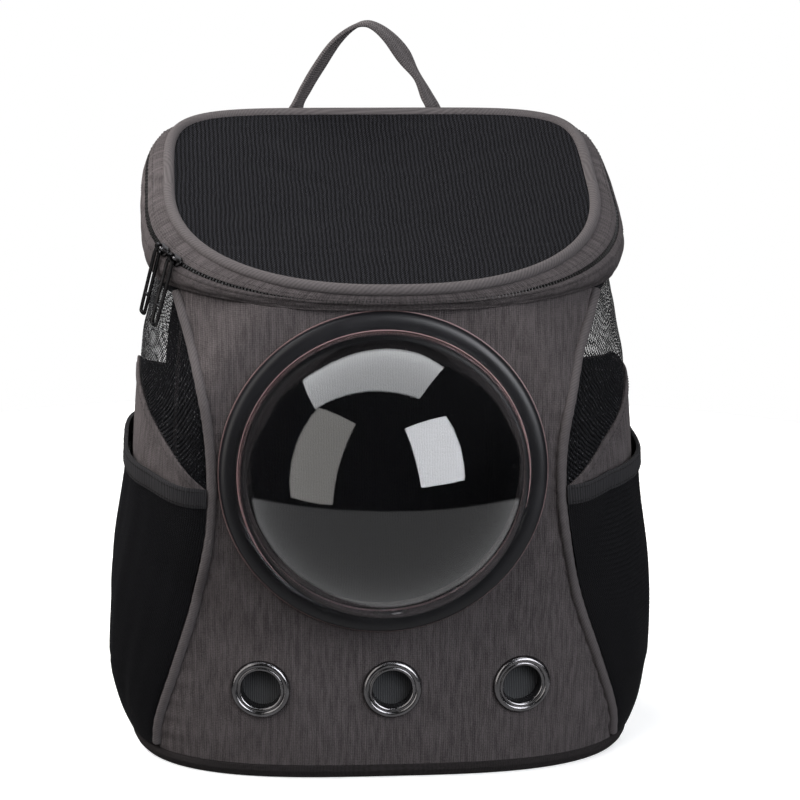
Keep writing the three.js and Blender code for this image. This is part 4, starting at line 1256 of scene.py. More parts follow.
class AddPiping(CarrierOperator):
    """Adds the two corded seams of the front"""

    bl_idname = "carrier.piping"
    bl_label = "Piping"

    def build(self, sizes):
        for word, side in SIDES:
            def seam(t, distance, side=side):
                share = lerp(0.012, 0.99, t)
                return body_point(seam_angle(share, side, "front", distance), share)

            def centre(t):
                out, _ = directions(t)
                return seam(t, 0) + out * PIPING_STAND_OUT

            def directions(t):
                across = seam(t, 0.001) - seam(t, -0.001)
                ahead = seam(np.minimum(t + 0.002, 1), 0) - seam(np.maximum(t - 0.002, 0), 0)
                out = np.cross(across, ahead)
                out /= np.linalg.norm(out, axis=1, keepdims=True)
                across = np.cross(ahead, out)
                return out, across / np.linalg.norm(across, axis=1, keepdims=True)

            def wobble(t):
                return 1 + 0.03 * np.sin(2 * math.pi * 34 * t + 2 * np.sin(17 * t))

            def skin(s, t):
                return tube(centre, PIPING_RADIUS * 0.97 * wobble(t)[:, None], directions)(s, t)

            cord = laid(skin, 16, 300, [finish("piping")], ring=True)
            edit(cord, close_ends, lambda: bpy.ops.mesh.select_all(action="SELECT"), face_out)
            done(cord, f"piping_cord_{word}", [f"piping_{word}"])

            def flange(s, t, seam=seam):
                return seam(t, lerp(-WELT_REACH, WELT_REACH, s))

            welt = laid(raised(flange, -0.0001), 6, 160, [finish("canvas")])
            done(thick(welt, WELT_THICKNESS), f"seam_allowance_{word}")


class AddCollar(CarrierOperator):
    """Adds the collar, the lid's band, the bound rim and the cloth hinge"""

    bl_idname = "carrier.collar"
    bl_label = "Collar and lid band"

    def build(self, sizes):
        ripple = waves((0.0004, 23, 0.3, 0.0), (0.00025, 41, -0.5, 1.2))

        def collar_lift(s, t):
            hem = 0.0006 * smoothstep(0.14 - t, 0, 0.06) + 0.0012 * smoothstep(t - 0.8, 0, 0.06)
            return hem + ripple(s, t) * np.sin(np.pi * t)

        def band_top(angle):
            return ZIP_LOWER + zip_cover(angle)

        def cap_foot(angle):
            return ZIP_UPPER - zip_cover(angle)

        def cap_lift(s, t):
            return 0.0012 * (1 - smoothstep(t, 0.25, 0.8)) + ripple(s, t) * 0.3

        band = collar_run(0, 0, band_top, 0, *WHOLE_TURN)
        surface = raised(band, collar_lift, ring=True)
        collar = laid(surface, 360, 24, [finish("canvas"), finish("lining")], ring=True)
        done(thick(collar, BAND_THICKNESS, True, 0.0005), "collar_canvas", ["collar"])
        cap = collar_run(cap_foot, 0, 1, RIM_RADIUS * 0.5, *WHOLE_TURN)
        cap_surface = raised(cap, cap_lift, ring=True)
        lid = laid(cap_surface, 360, 8, [finish("canvas"), finish("lining")], ring=True)
        done(thick(lid, BAND_THICKNESS, True, 0.0005), "lid_canvas", ["lid_band"])
        hinge_gap = math.radians(0.573)
        hinge_end = 2 * math.pi + ZIP_START - hinge_gap
        hinge = collar_run(ZIP_LOWER, 0, ZIP_UPPER, 0, ZIP_END + hinge_gap, hinge_end)
        cloth = laid(hinge, 60, 6, [finish("canvas"), finish("lining")])
        done(thick(cloth, BAND_THICKNESS, True), "hinge_canvas", ["lid_hinge"])

        s = np.linspace(0, 1, 721)
        rows = [surface_row(surface, s, np.full_like(s, t), 0.00005, True) for t in (0.14, 0.83)]
        rows.append(surface_row(cap_surface, s, np.full_like(s, 0.3), 0.00005, True))
        done(stitches(rows, sizes.stitch_pitch, finish("thread")), "collar_stitches")

        def centre(t):
            return collar_point(lerp(*WHOLE_TURN, t), np.ones_like(t))

        def directions(t):
            ahead = centre(t + 0.002) - centre(t - 0.002)
            ahead /= np.linalg.norm(ahead, axis=1, keepdims=True)
            out = np.cross(ahead, [0, 0, 1])
            out /= np.linalg.norm(out, axis=1, keepdims=True)
            return out, np.cross(out, ahead)

        rim = laid(tube(centre, RIM_RADIUS * 1.12, directions), 20, 480, [finish("rim")], ring=True)
        edit(rim, merge)
        done(rim, "rim_binding", ["lid_rim"])
        out, up = directions(s)
        inner = centre(s) - out * RIM_RADIUS * 0.62 + up * RIM_RADIUS * 0.8
        thread = stitches([(inner, up - out * 0.7)], sizes.stitch_pitch * 0.75, finish("thread"))
        done(thread, "rim_stitches")


class AddSeamTapes(CarrierOperator):
    """Adds the tapes that bind the seams inside"""

    bl_idname = "carrier.seam_tapes"
    bl_label = "Inner seam tapes"

    def build(self, sizes):
        def neck_tape(s, t):
            angle = lerp(*WHOLE_TURN, s)
            x, y = outline(tuple(NECK), angle)
            return np.stack([x, y, neck_line(x) + lerp(-0.006, 0.007, t)], -1)

        inner_neck = raised(neck_tape, -BAND_THICKNESS - 0.0004, ring=True)
        tape = laid(inner_neck, 240, 3, [finish("lining")], ring=True)
        pieces = [thick(tape, SEAM_TAPE_THICKNESS)]
        for _, side in SIDES:
            def corner_tape(s, t, side=side):
                return body_point(seam_angle(t, side, "back", lerp(-SEAM_TAPE_REACH, SEAM_TAPE_REACH, s)), t)

            tape = laid(raised(corner_tape, -PANEL_THICKNESS * 0.7), 4, 60, [finish("lining")])
            pieces.append(thick(tape, SEAM_TAPE_THICKNESS))
        done(joined(*pieces), "inner_seam_tape")


class AddLidNet(CarrierOperator):
    """Adds the ribbed net of the lid"""

    bl_idname = "carrier.lid_net"
    bl_label = "Lid net"

    def build(self, sizes):
        def edge(angle):
            one = np.ones_like(angle)
            ahead = collar_point(angle + 0.01, one) - collar_point(angle - 0.01, one)
            out = np.cross(ahead, [0, 0, 1])
            out /= np.linalg.norm(out, axis=1, keepdims=True)
            return collar_point(angle, one) - out * RIM_RADIUS * 0.7

        ends = edge(np.array([FRONT, -FRONT]))
        middle = ends.mean(0)

        def place(s, t):
            share = 1 - t
            point = lerp(middle, edge(lerp(*WHOLE_TURN, s)), share[:, None])
            slack = waves((0.0006, 3, 0.7, 0.3), (0.0004, 7, -0.4, 1.0))(s, t) * np.sin(np.pi * share) ** 2
            point[:, 2] += slack - NET_SAG * (1 - share**2)
            return point

        net = laid(place, 180, 60, [finish("lid_net")], ring=True)
        edit(net, merge, face_out)
        done(thick(net, LID_NET_THICKNESS), "lid_mesh", ["lid_net"])


class AddZip(CarrierOperator):
    """Adds the zip's tape and its teeth"""

    bl_idname = "carrier.zip"
    bl_label = "Zip"

    def build(self, sizes):
        tape_surface = collar_run(ZIP_LOWER, -0.0006, ZIP_UPPER, -0.0006, ZIP_START, ZIP_END)
        tape = laid(raised(tape_surface, -TAPE_INSET), 300, 8, [finish("zip_tape")])
        done(thick(tape, ZIP_TAPE_THICKNESS), "zip_tape", ["zip"])
        select_only()
        bpy.ops.mesh.primitive_cube_add(size=1)
        tooth = bpy.context.object
        size = [sizes.tooth_pitch * 0.42, TOOTH_WIDTH, TOOTH_RISE]
        write_points(tooth.data, read_points(tooth.data) * size)
        modify(tooth, "BEVEL", width=TOOTH_ROUNDING, segments=1)
        s = np.linspace(0, 1, 1200)
        coil = collar_run(ZIP_LOWER, 0, ZIP_UPPER, 0, ZIP_START, ZIP_END)
        line, out = surface_row(coil, s, np.full_like(s, 0.5))
        share, place, ahead = along_line(line, sizes.tooth_pitch)
        up = np.stack([np.interp(share, s, out[:, k]) for k in range(3)], -1)
        across = np.cross(up, ahead)
        across /= np.linalg.norm(across, axis=1, keepdims=True)
        sway = np.where(np.arange(len(place)) % 2, 1, -1)[:, None] * TOOTH_SWAY
        place = place + across * sway + up * (COIL_RAISE - TOOTH_SINK)
        matrices = [basis(*m) for m in zip(ahead, across, up, place)]
        done(repeated(tooth, matrices, [finish("zip_teeth")]), "zip_teeth")


class AddDome(CarrierOperator):
    """Adds the clear dome, its seal and its ring"""

    bl_idname = "carrier.dome"
    bl_label = "Dome and ring"

    def build(self, sizes):
        matrix = DOME_SEAT.matrix()
        top = SEAT_GAP + DOME_WALL

        def arc(radius, height):
            angles = np.linspace(0, math.pi / 2, 41)
            return [(max(radius * math.sin(a), 0), top + height * math.cos(a)) for a in angles]

        inner = arc(DOME_RADIUS - DOME_WALL, DOME_HEIGHT - DOME_WALL)
        shell = [
            *arc(DOME_RADIUS, DOME_HEIGHT),
            (DOME_RADIUS + DOME_FLANGE, top),
            (DOME_RADIUS + DOME_FLANGE, SEAT_GAP),
            (DOME_RADIUS - DOME_WALL, SEAT_GAP),
            *reversed(inner),
        ]
        done(turned(shell, matrix, 128, [finish("clear")]), "clear_dome", ["dome"], angle=50)

        width, rise = RING_WIDTH, RING_THICKNESS
        start, end = DOME_RADIUS + SEAM_GAP, RING_OUTER
        low = top + SEAM_GAP
        step = DOME_RADIUS + DOME_FLANGE + SEAM_GAP
        crown = [
            (0.0, 0.62), (0.015, 0.74), (0.05, 0.83), (0.09, 0.88), (0.15, 0.92), (0.26, 0.97), (0.4, 1.0),
            (0.54, 1.0), (0.67, 0.965), (0.79, 0.89), (0.88, 0.79), (0.945, 0.66), (0.985, 0.5), (1.0, 0.33),
        ]
        profile = [(start, low)]
        profile += [(lerp(start, end, across), rise * up) for across, up in crown]
        profile += [(end, SEAT_GAP), (step, SEAT_GAP), (step, low), (start, low)]
        ring = turned(profile, matrix, 192, [finish("ring")])
        done(ring, "ring_moulding", ["dome_ring"], angle=50)

        height = rise * 0.74
        gasket = [
            (DOME_RADIUS + 0.0001, low),
            (DOME_RADIUS + 0.0001, height),
            (DOME_RADIUS + 0.0005, height + 0.0006),
            (DOME_RADIUS + 0.0011, height + 0.0006),
            (DOME_RADIUS + 0.0015, height),
            (DOME_RADIUS + 0.0015, low),
            (DOME_RADIUS + 0.0001, low),
        ]
        turns = np.linspace(0, 2 * math.pi, 9)
        bead_radius, bead_height, bead_size = RING_OUTER + 0.0002, SEAT_GAP + 0.0006, 0.0005
        bead = [(bead_radius + bead_size * math.cos(a), bead_height + bead_size * math.sin(a)) for a in turns]
        beads = [
            turned(gasket, matrix, 160, [finish("seal")]),
            turned(bead, matrix, 160, [finish("edge_seal")]),
        ]
        done(joined(*beads), "dome_seal")


class AddEyelets(CarrierOperator):
    """Adds the three vent eyelets"""

    bl_idname = "carrier.eyelets"
    bl_label = "Eyelets"

    def build(self, sizes):
        # Across the rim as a share of its width, height as a share of its rise
        crown = [
            (0.0, -0.2), (0.0, 0.35), (0.03, 0.56), (0.1, 0.74), (0.19, 0.83), (0.29, 0.84), (0.345, 0.78),
            (0.375, 0.7), (0.41, 0.78), (0.47, 0.92), (0.56, 1.0), (0.68, 1.0), (0.8, 0.9), (0.9, 0.72),
            (0.97, 0.45), (1.0, 0.12),
        ]
        back = -PANEL_THICKNESS - 0.0006
        nets = []
        for name, seat in EYELET_SEATS.items():
            profile = [(EYELET_HOLE, back - 0.001)]
            profile += [(lerp(EYELET_HOLE, EYELET_OUTER, across), EYELET_RISE * up) for across, up in crown]
            profile += [
                (EYELET_OUTER, 0.0001),
                (EYELET_HOLE + 0.001, 0.0001),
                (EYELET_HOLE + 0.001, back),
                (EYELET_OUTER - 0.002, back),
                (EYELET_OUTER - 0.002, back - 0.001),
                (EYELET_HOLE, back - 0.001),
            ]
            done(turned(profile, seat.matrix(), 96, [finish("gunmetal")]), f"{name}_rim", [name])
            reach, near, far = EYELET_OUTER - 0.001, back - 0.0012, back - 0.0018
            flat = [(0, near), (reach, near), (reach, far), (0, far)]
            nets.append(turned(flat, seat.matrix(), 48, [finish("vent_net")]))
            points = read_points(nets[-1].data)
            write_uv(nets[-1].data, points[:, [0, 2]])
        done(joined(*nets), "vent_net")


def strip_surface(centre, across, width, thickness, edge=0.35):
    """A strip of webbing or padding round its middle line: s goes round it and t along it."""
    corner = np.linspace(0, 2 * math.pi, 41)
    a = signed_power(np.cos(corner), 0.35) / 2
    b = signed_power(np.sin(corner), edge) / 2
    ramp = np.linspace(0, 1, 41)

    def place(s, t):
        ahead = centre(np.minimum(t + 0.003, 1)) - centre(np.maximum(t - 0.003, 0))
        ahead /= np.linalg.norm(ahead, axis=1, keepdims=True)
        side = across(t)
        side = side - ahead * (side * ahead).sum(1, keepdims=True)
        side /= np.linalg.norm(side, axis=1, keepdims=True)
        out = np.cross(ahead, side)
        u = np.interp(s, ramp, a) * (width(t) if callable(width) else width)
        v = np.interp(s, ramp, b) * thickness
        return centre(t) - side * u[:, None] + out * v[:, None]

    return place


class AddHandle(CarrierOperator):
    """Adds the carry handle"""

    bl_idname = "carrier.handle"
    bl_label = "Carry handle"

    def build(self, sizes):
        rim_back = collar_point(np.array(-FRONT), np.array(1.0))

        def centre(t):
            x = HANDLE_SHIFT + along(HANDLE, 1, t) * HANDLE_SPAN / 2
            y = RIM_RADIUS + along(HANDLE, 3, t) * HANDLE_WIDTH
            return rim_back + np.stack([x, y, along(HANDLE, 2, t) * HANDLE_RISE], -1)

        def across(t):
            turn = np.radians(along(HANDLE, 4, t))
            return np.stack([np.sin(turn), np.cos(turn), 0 * t], -1)

        surface = strip_surface(centre, across, HANDLE_WIDTH, HANDLE_THICKNESS)
        handle = laid(surface, 40, 220, [finish("webbing")], ring=True)
        edit(handle, close_ends, lambda: bpy.ops.mesh.select_all(action="SELECT"), face_out)
        done(handle, "handle_webbing", ["handle"])


def on_back(x, out, height):
    loop = body_loop(height_share(height))
    _, y = outline(loop, outline_angle(loop, x, "back"))
    return np.stack([x + 0 * y, y + out, height + 0 * y], -1)


def outward(ahead):
    """The way a strip faces where it runs ahead: away from the bag on the back."""
    across = np.array([1.0, 0, 0]) - ahead * ahead[0]
    across /= np.linalg.norm(across)
    out = np.cross(across, ahead)
    return out / np.linalg.norm(out)


def strap_line(side):
    """A shoulder strap's middle line as the solids have it."""

    def centre(t):
        x = side * along(STRAP, 1, t) * BASE_HALF_WIDTH
        out = STRAP_THICKNESS / 2 + SEAM_GAP + along(STRAP, 2, t) * STRAP_BOW
        return on_back(x, out, along(STRAP, 3, t) * NECK_HEIGHT)

    return centre


def inflated(piece, cap, pressure=4.0, voxel=0.0045):
    """Swells a padded piece by a cloth simulation, with a cap on how far any point moves."""
    modify(piece, "REMESH", mode="VOXEL", voxel_size=voxel)
    rest = read_points(piece.data).copy()
    select_only(piece)
    cloth = piece.modifiers.new("Cloth", "CLOTH")
    cloth.settings.use_pressure = True
    cloth.settings.uniform_pressure_force = pressure
    cloth.settings.effector_weights.gravity = 0
    cloth.settings.quality = 5
    for frame_number in range(1, 21):
        bpy.context.scene.frame_set(frame_number)
    bpy.ops.object.modifier_apply(modifier=cloth.name)
    bpy.context.scene.frame_set(1)
    moved = read_points(piece.data) - rest
    reach = np.linalg.norm(moved, axis=1, keepdims=True)
    write_points(piece.data, rest + moved * np.minimum(1, cap / np.maximum(reach, 1e-9)))
    modify(piece, "SMOOTH", factor=0.5, iterations=3)
    modify(piece, "SUBSURF", levels=1, render_levels=1)
    return piece


class AddBackPanel(CarrierOperator):
    """Adds the padded back panel with its sewn channels"""

    bl_idname = "carrier.back_panel"
    bl_label = "Back panel"

    def build(self, sizes):
        def swell(s, t):
            pads = np.abs(np.sin(np.pi * 3 * np.clip(s, 0, 1))) ** 0.45
            ends = (np.clip(np.minimum(t, 1 - t) * 14, 0, 1)) ** 0.5
            return BACK_PAD_SWELL * pads * ends - BACK_PAD_SINK

        padded_surface = raised(back_surface, swell)
        panel = laid(padded_surface, 132, 110, [finish("canvas"), finish("lining")], flat=upright)
        thick(panel, BACK_PAD_THICKNESS, lining=True)
        done(panel, "back_padding", ["back_panel"])
        t = np.linspace(0.03, 0.97, 90)
        rows = [surface_row(padded_surface, np.full_like(t, k / 3), t, THREAD_LIFT) for k in (1, 2)]
        done(stitches(rows, sizes.stitch_pitch, finish("thread")), "back_stitches")


class AddShoulderStraps(CarrierOperator):
    """Adds the padded shoulder straps, their edging and their webbing"""

    bl_idname = "carrier.shoulder_straps"
    bl_label = "Shoulder straps"

    def build(self, sizes):
        for word, side in SIDES:
            centre = strap_line(side)

            def across(t):
                return np.tile([1.0, 0.0, 0.0], (len(t), 1))

            def width(t):
                return STRAP_WIDTH * (1 - 0.35 * smoothstep(t, 0.93, 1.02)) - 0.002

            surface = strip_surface(centre, across, width, STRAP_THICKNESS * 0.72, 0.5)
            pad = laid(surface, 40, 90, [finish("canvas_strap")], ring=True)
            edit(pad, close_ends, lambda: bpy.ops.mesh.select_all(action="SELECT"), face_out)
            pad = inflated(pad, STRAP_SWELL_CAP)
            pad.data.materials.clear()
            pad.data.materials.append(finish("canvas_strap"))
            points = read_points(pad.data)
            write_uv(pad.data, points[:, [0, 2]])
            done(pad, f"strap_pad_{word}", [f"shoulder_strap_{word}"], angle=60)

            t = np.linspace(0, 1, 160)
            loops = []
            for edge in (-1, 1):
                line = centre(t) + np.stack([edge * (width(t) / 2 + 0.0002), 0 * t, 0 * t], -1)
                loops.append(line)
            outline_points = np.concatenate([loops[0], loops[1][::-1]])[::4] + ORIGIN
            round_strap = [tuple(p) for p in outline_points]
            edging = wire(round_strap, STRAP_EDGING_RADIUS, True, [finish("dark_webbing")], 8)
            write_uv(edging.data, read_points(edging.data)[:, [0, 2]])
            done(edging, f"strap_edging_{word}")
            rows = []
            for edge in (-1, 1):
                reach = edge * (width(t) / 2 - STRAP_STITCH_INSET)
                ahead = np.gradient(centre(t), axis=0)
                out = np.array([outward(a / np.linalg.norm(a)) for a in -ahead])
                line = centre(t) + np.stack([reach, 0 * t, 0 * t], -1) + out * STRAP_THICKNESS * 0.36
                rows.append((line[4:-4], out[4:-4]))
            done(stitches(rows, sizes.stitch_pitch, finish("thread")), f"strap_stitches_{word}")
            self.webbing(side, word, centre, sizes)

    def webbing(self, side, word, centre, sizes):
        def on_panel(x, height):
            return on_back(x, WEBBING_THICKNESS / 2 + 2 * SEAM_GAP, height)

        foot_x = side * WEBBING_FOOT[0] * BASE_HALF_WIDTH
        foot_height = WEBBING_FOOT[1] * NECK_HEIGHT
        end, foot = centre(np.array([1.0]))[0], on_panel(foot_x, foot_height)
        upward = (end - foot) / np.linalg.norm(end - foot)
        out = outward(upward)
        spacing = BUCKLE_BAR + BUCKLE_SLOT
        middle = end - upward * ((3 * BUCKLE_BAR + 2 * BUCKLE_SLOT) / 2 + BUCKLE_HANG)
        across_back = on_panel(foot_x + 0.001, foot_height) - foot
        across_buckle = np.cross(upward, out)
        route = [(on_panel(foot_x, foot_height - WEBBING_HEEL), across_back), (foot, across_back)]
        for step in WEAVE_STEPS:
            reach = step * spacing / 6
            lift = WEBBING_LIFT * math.cos(math.pi * (reach + spacing) / spacing)
            if step < -6:
                lift = WEBBING_LIFT * float(smoothstep(step, -16, -6))
            route.append((middle + upward * reach + out * lift, across_buckle))
        over = (STRAP_THICKNESS + WEBBING_THICKNESS) / 2 + 3 * SEAM_GAP
        length = np.linalg.norm(np.diff(centre(np.linspace(0, 1, 200)), axis=0), axis=1).sum()
        for step in range(5):
            share = np.array([1 - step * WEBBING_ON_STRAP / 4 / length])
            back = (centre(share - 0.01) - centre(np.minimum(share + 0.01, 1)))[0]
            back /= np.linalg.norm(back)
            route.append((centre(share)[0] + outward(back) * over, np.array([1.0, 0, 0])))
        places = np.array([place for place, _ in route])
        sides = np.array([way / np.linalg.norm(way) for _, way in route])
        steps = np.concatenate([[0], np.cumsum(np.linalg.norm(np.diff(places, axis=0), axis=1))])
        table = np.column_stack([steps / steps[-1], places, sides])

        def line(t):
            return np.stack([along(table, k, t) for k in (1, 2, 3)], -1)

        def across(t):
            return np.stack([along(table, k, t) for k in (4, 5, 6)], -1)

        surface = strip_surface(line, across, WEBBING_WIDTH, WEBBING_THICKNESS)
        webbing = laid(surface, 32, 260, [finish("webbing")], ring=True)
        edit(webbing, close_ends, lambda: bpy.ops.mesh.select_all(action="SELECT"), face_out)
        done(webbing, f"strap_tape_{word}", [f"strap_webbing_{word}"])


def zip_frame(angle):
    """A slider's frame on the zip: its place, along the zip, up across it and out."""
    middle = (ZIP_LOWER + ZIP_UPPER) / 2
    step = 0.01

    def at(a, share):
        return collar_point(np.array(a), np.array(share))

    tangent = at(angle + step, middle) - at(angle - step, middle)
    tangent /= np.linalg.norm(tangent)
    across = at(angle, middle + step) - at(angle, middle - step)
    out = np.cross(tangent, across)
    out /= np.linalg.norm(out)
    return at(angle, middle), tangent, np.cross(out, tangent), out


class AddSliders(CarrierOperator):
    """Adds the two zip sliders and their wire pulls"""

    bl_idname = "carrier.sliders"
    bl_label = "Sliders and pulls"

    def build(self, sizes):
        foot = COIL_RAISE + SLIDER_LIFT
        pin_height = foot + SLIDER_THICKNESS + BAIL_RISE
        for index, degrees in enumerate(SLIDER_ANGLES, 1):
            place, tangent, up, out = zip_frame(math.radians(degrees))
            on_zip = basis(tangent, up, out, place + ORIGIN)
            select_only()
            bpy.ops.mesh.primitive_cylinder_add(vertices=48, radius=1, depth=1)
            body = bpy.context.object
            points = read_points(body.data)
            waist = 1 - 0.18 * np.cos(points[:, 0] * math.pi) * (np.abs(points[:, 0]) < 0.5)
            along_zip = points[:, 0] * SLIDER_LENGTH / 2
            over_zip = points[:, 1] * SLIDER_WIDTH / 2 * waist
            size = np.stack([along_zip, over_zip, points[:, 2] * SLIDER_THICKNESS], -1)
            size[:, 2] += foot + SLIDER_THICKNESS / 2
            write_points(body.data, size)
            rounding = {"width": SLIDER_ROUNDING, "segments": 3, "limit_method": "ANGLE"}
            modify(body, "BEVEL", angle_limit=math.radians(50), **rounding)
            body.data.transform(on_zip)
            body.data.materials.append(finish("black_metal"))
            half = BAIL_SPAN / 2
            low = foot + SLIDER_THICKNESS * 0.6
            arch = [
                (-half, 0, low),
                (-half, 0, pin_height - 0.0012),
                (-half + 0.0005, 0, pin_height - 0.0002),
                (-half + 0.0016, 0, pin_height),
            ]
            arch += [(-x, y, z) for x, y, z in reversed(arch)]
            bail_line = [tuple(on_zip @ Vector(p)) for p in arch]
            bail = wire(bail_line, BAIL_RADIUS, False, [finish("gunmetal")], 12)
            done(joined(body, bail), f"slider_body_{index}", [f"slider_{index}"])

            plumb = np.array([0, 0, -1.0])
            plumb -= tangent * (plumb @ tangent)
            plumb /= np.linalg.norm(plumb)
            away = np.cross(plumb, tangent)
            away *= math.copysign(1, away @ out)
            lean = math.radians(PULL_LEAN)
            hang = plumb * math.cos(lean) + away * math.sin(lean)
            pin = place + out * pin_height
            hung = basis(tangent, hang, np.cross(tangent, hang), pin + ORIGIN)
            wide, top = PULL_WIDTH / 2 - PULL_WIRE, BAIL_RADIUS + PULL_EYE_GAP + 0.0006
            rail = [
                (-wide * 0.35, top),
                (wide * 0.35, top),
                (wide * 0.8, top + 0.001),
                (wide, top + PULL_CORNER * 1.4),
                (wide, PULL_LENGTH * 0.5),
                (wide, PULL_LENGTH - PULL_CORNER),
                (wide - 0.0008, PULL_LENGTH - PULL_WIRE),
                (-wide + 0.0008, PULL_LENGTH - PULL_WIRE),
                (-wide, PULL_LENGTH - PULL_CORNER),
                (-wide, PULL_LENGTH * 0.5),
                (-wide, top + PULL_CORNER * 1.4),
                (-wide * 0.8, top + 0.001),
            ]
            rail_line = [tuple(hung @ Vector((x, y, 0))) for x, y in rail]
            parts = [wire(rail_line, PULL_WIRE, True, [finish("black_metal")], 12)]
            stops = (-wide, -wide / 3, wide / 3, wide)
            bar = [tuple(hung @ Vector((x, PULL_BAR + PULL_WIRE, 0))) for x in stops]
            parts.append(wire(bar, PULL_WIRE * 0.95, False, [finish("black_metal")], 12))
            ring = BAIL_RADIUS + PULL_EYE_GAP + PULL_EYE_WIRE
            turns = np.linspace(0, 2 * math.pi, 17)[:-1]
            for shift in (-PULL_EYE_SHIFT, PULL_EYE_SHIFT):
                eye = [tuple(hung @ Vector((shift, ring * math.cos(a), ring * math.sin(a)))) for a in turns]
                parts.append(wire(eye, PULL_EYE_WIRE, True, [finish("black_metal")], 8))
            pull = joined(*parts)
            done(pull, f"pull_wire_{index}", [f"pull_{index}"], body=f"zip_pull_{index}")


class AddBuckles(CarrierOperator):
    """Finishes the strap buckles, whose solids stay"""

    bl_idname = "carrier.buckles"
    bl_label = "Strap buckles"

    def build(self, sizes):
        for word, _ in SIDES:
            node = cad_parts[f"strap_buckle_{word}"]
            node.data.materials.clear()
            node.data.materials.append(finish("buckle"))
            weld = node.modifiers.new("Weld", "WELD")
            weld.merge_threshold = 1e-5
            rounding = node.modifiers.new("Rounding", "BEVEL")
            rounding.width = 0.0006
            rounding.segments = 3
            rounding.limit_method = "ANGLE"
            rounding.angle_limit = math.radians(50)


# Name, direction from the bag, roll, distance, width, height, power, colour, and what sees it
LIGHTS = (
    ("box_right", (0.571, -0.731, 0.395), 0, 1.7, 1.08, 1.35, 34, (0.95, 0.96, 1.0), "gloss"),
    ("box_left", (-0.788, -0.532, 0.309), 0, 1.8, 1.27, 2.1, 15, (1.0, 0.97, 0.93), "gloss"),
    ("box_top", (-0.127, 0.202, 0.971), -0.77, 1.5, 2.28, 1.5, 35, (0.97, 0.98, 1.0), "gloss"),
    ("key", (-0.42, -0.52, 0.745), 0, 0.95, 0.7, 0.7, 6.5, (1.0, 0.985, 0.97), "cloth"),
    ("fill_right", (0.571, -0.731, 0.395), 0, 1.7, 1.08, 1.35, 36, (0.92, 0.95, 1.0), "cloth"),
    ("fill_left", (-0.788, -0.532, 0.309), 0, 1.8, 1.27, 2.1, 33, (1.0, 0.98, 0.96), "cloth"),
    ("side_left", (-0.75, 0.0, 0.66), 0, 0.9, 0.5, 0.7, 4.5, (1.0, 0.98, 0.96), "cloth"),
    ("top", (-0.127, 0.202, 0.971), -0.77, 1.5, 2.28, 1.5, 25, (1.0, 0.99, 0.98), "cloth"),
    ("back", (-0.5, 0.75, 0.55), 0, 2.2, 1.8, 1.2, 42, (1.0, 0.99, 0.98), "cloth"),
    ("back_right", (0.5, 0.82, 0.28), 0, 1.9, 1.2, 1.2, 18, (1.0, 0.99, 0.98), "cloth"),
)
# What a reflection and a cloth get from the surroundings, below the horizon and above it
GLOSS_BELOW = (0.4, 0.4, 0.405, 1)
GLOSS_ABOVE = (0.008, 0.008, 0.009, 1)
CLOTH_BELOW = (0.03, 0.03, 0.03, 1)
CLOTH_ABOVE = (0.085, 0.085, 0.09, 1)
WHITE = (1, 1, 1, 1)
TARGET = Vector((0.0, 0.0277, 0.2))
CAMERA_AZIMUTH = -4.7
CAMERA_ELEVATION = 15.0
CAMERA_ROLL = 0.5
CAMERA_DISTANCE = 1.6
FOCAL_PIXELS = 2545
PRINCIPAL = (380, 416)
PHOTO_SIZE = 800
SENSOR = 36.0
HORIZON = -0.306
HORIZON_BLUR = 0.01
HORIZON_TILT = (0, 0.0445, 1)


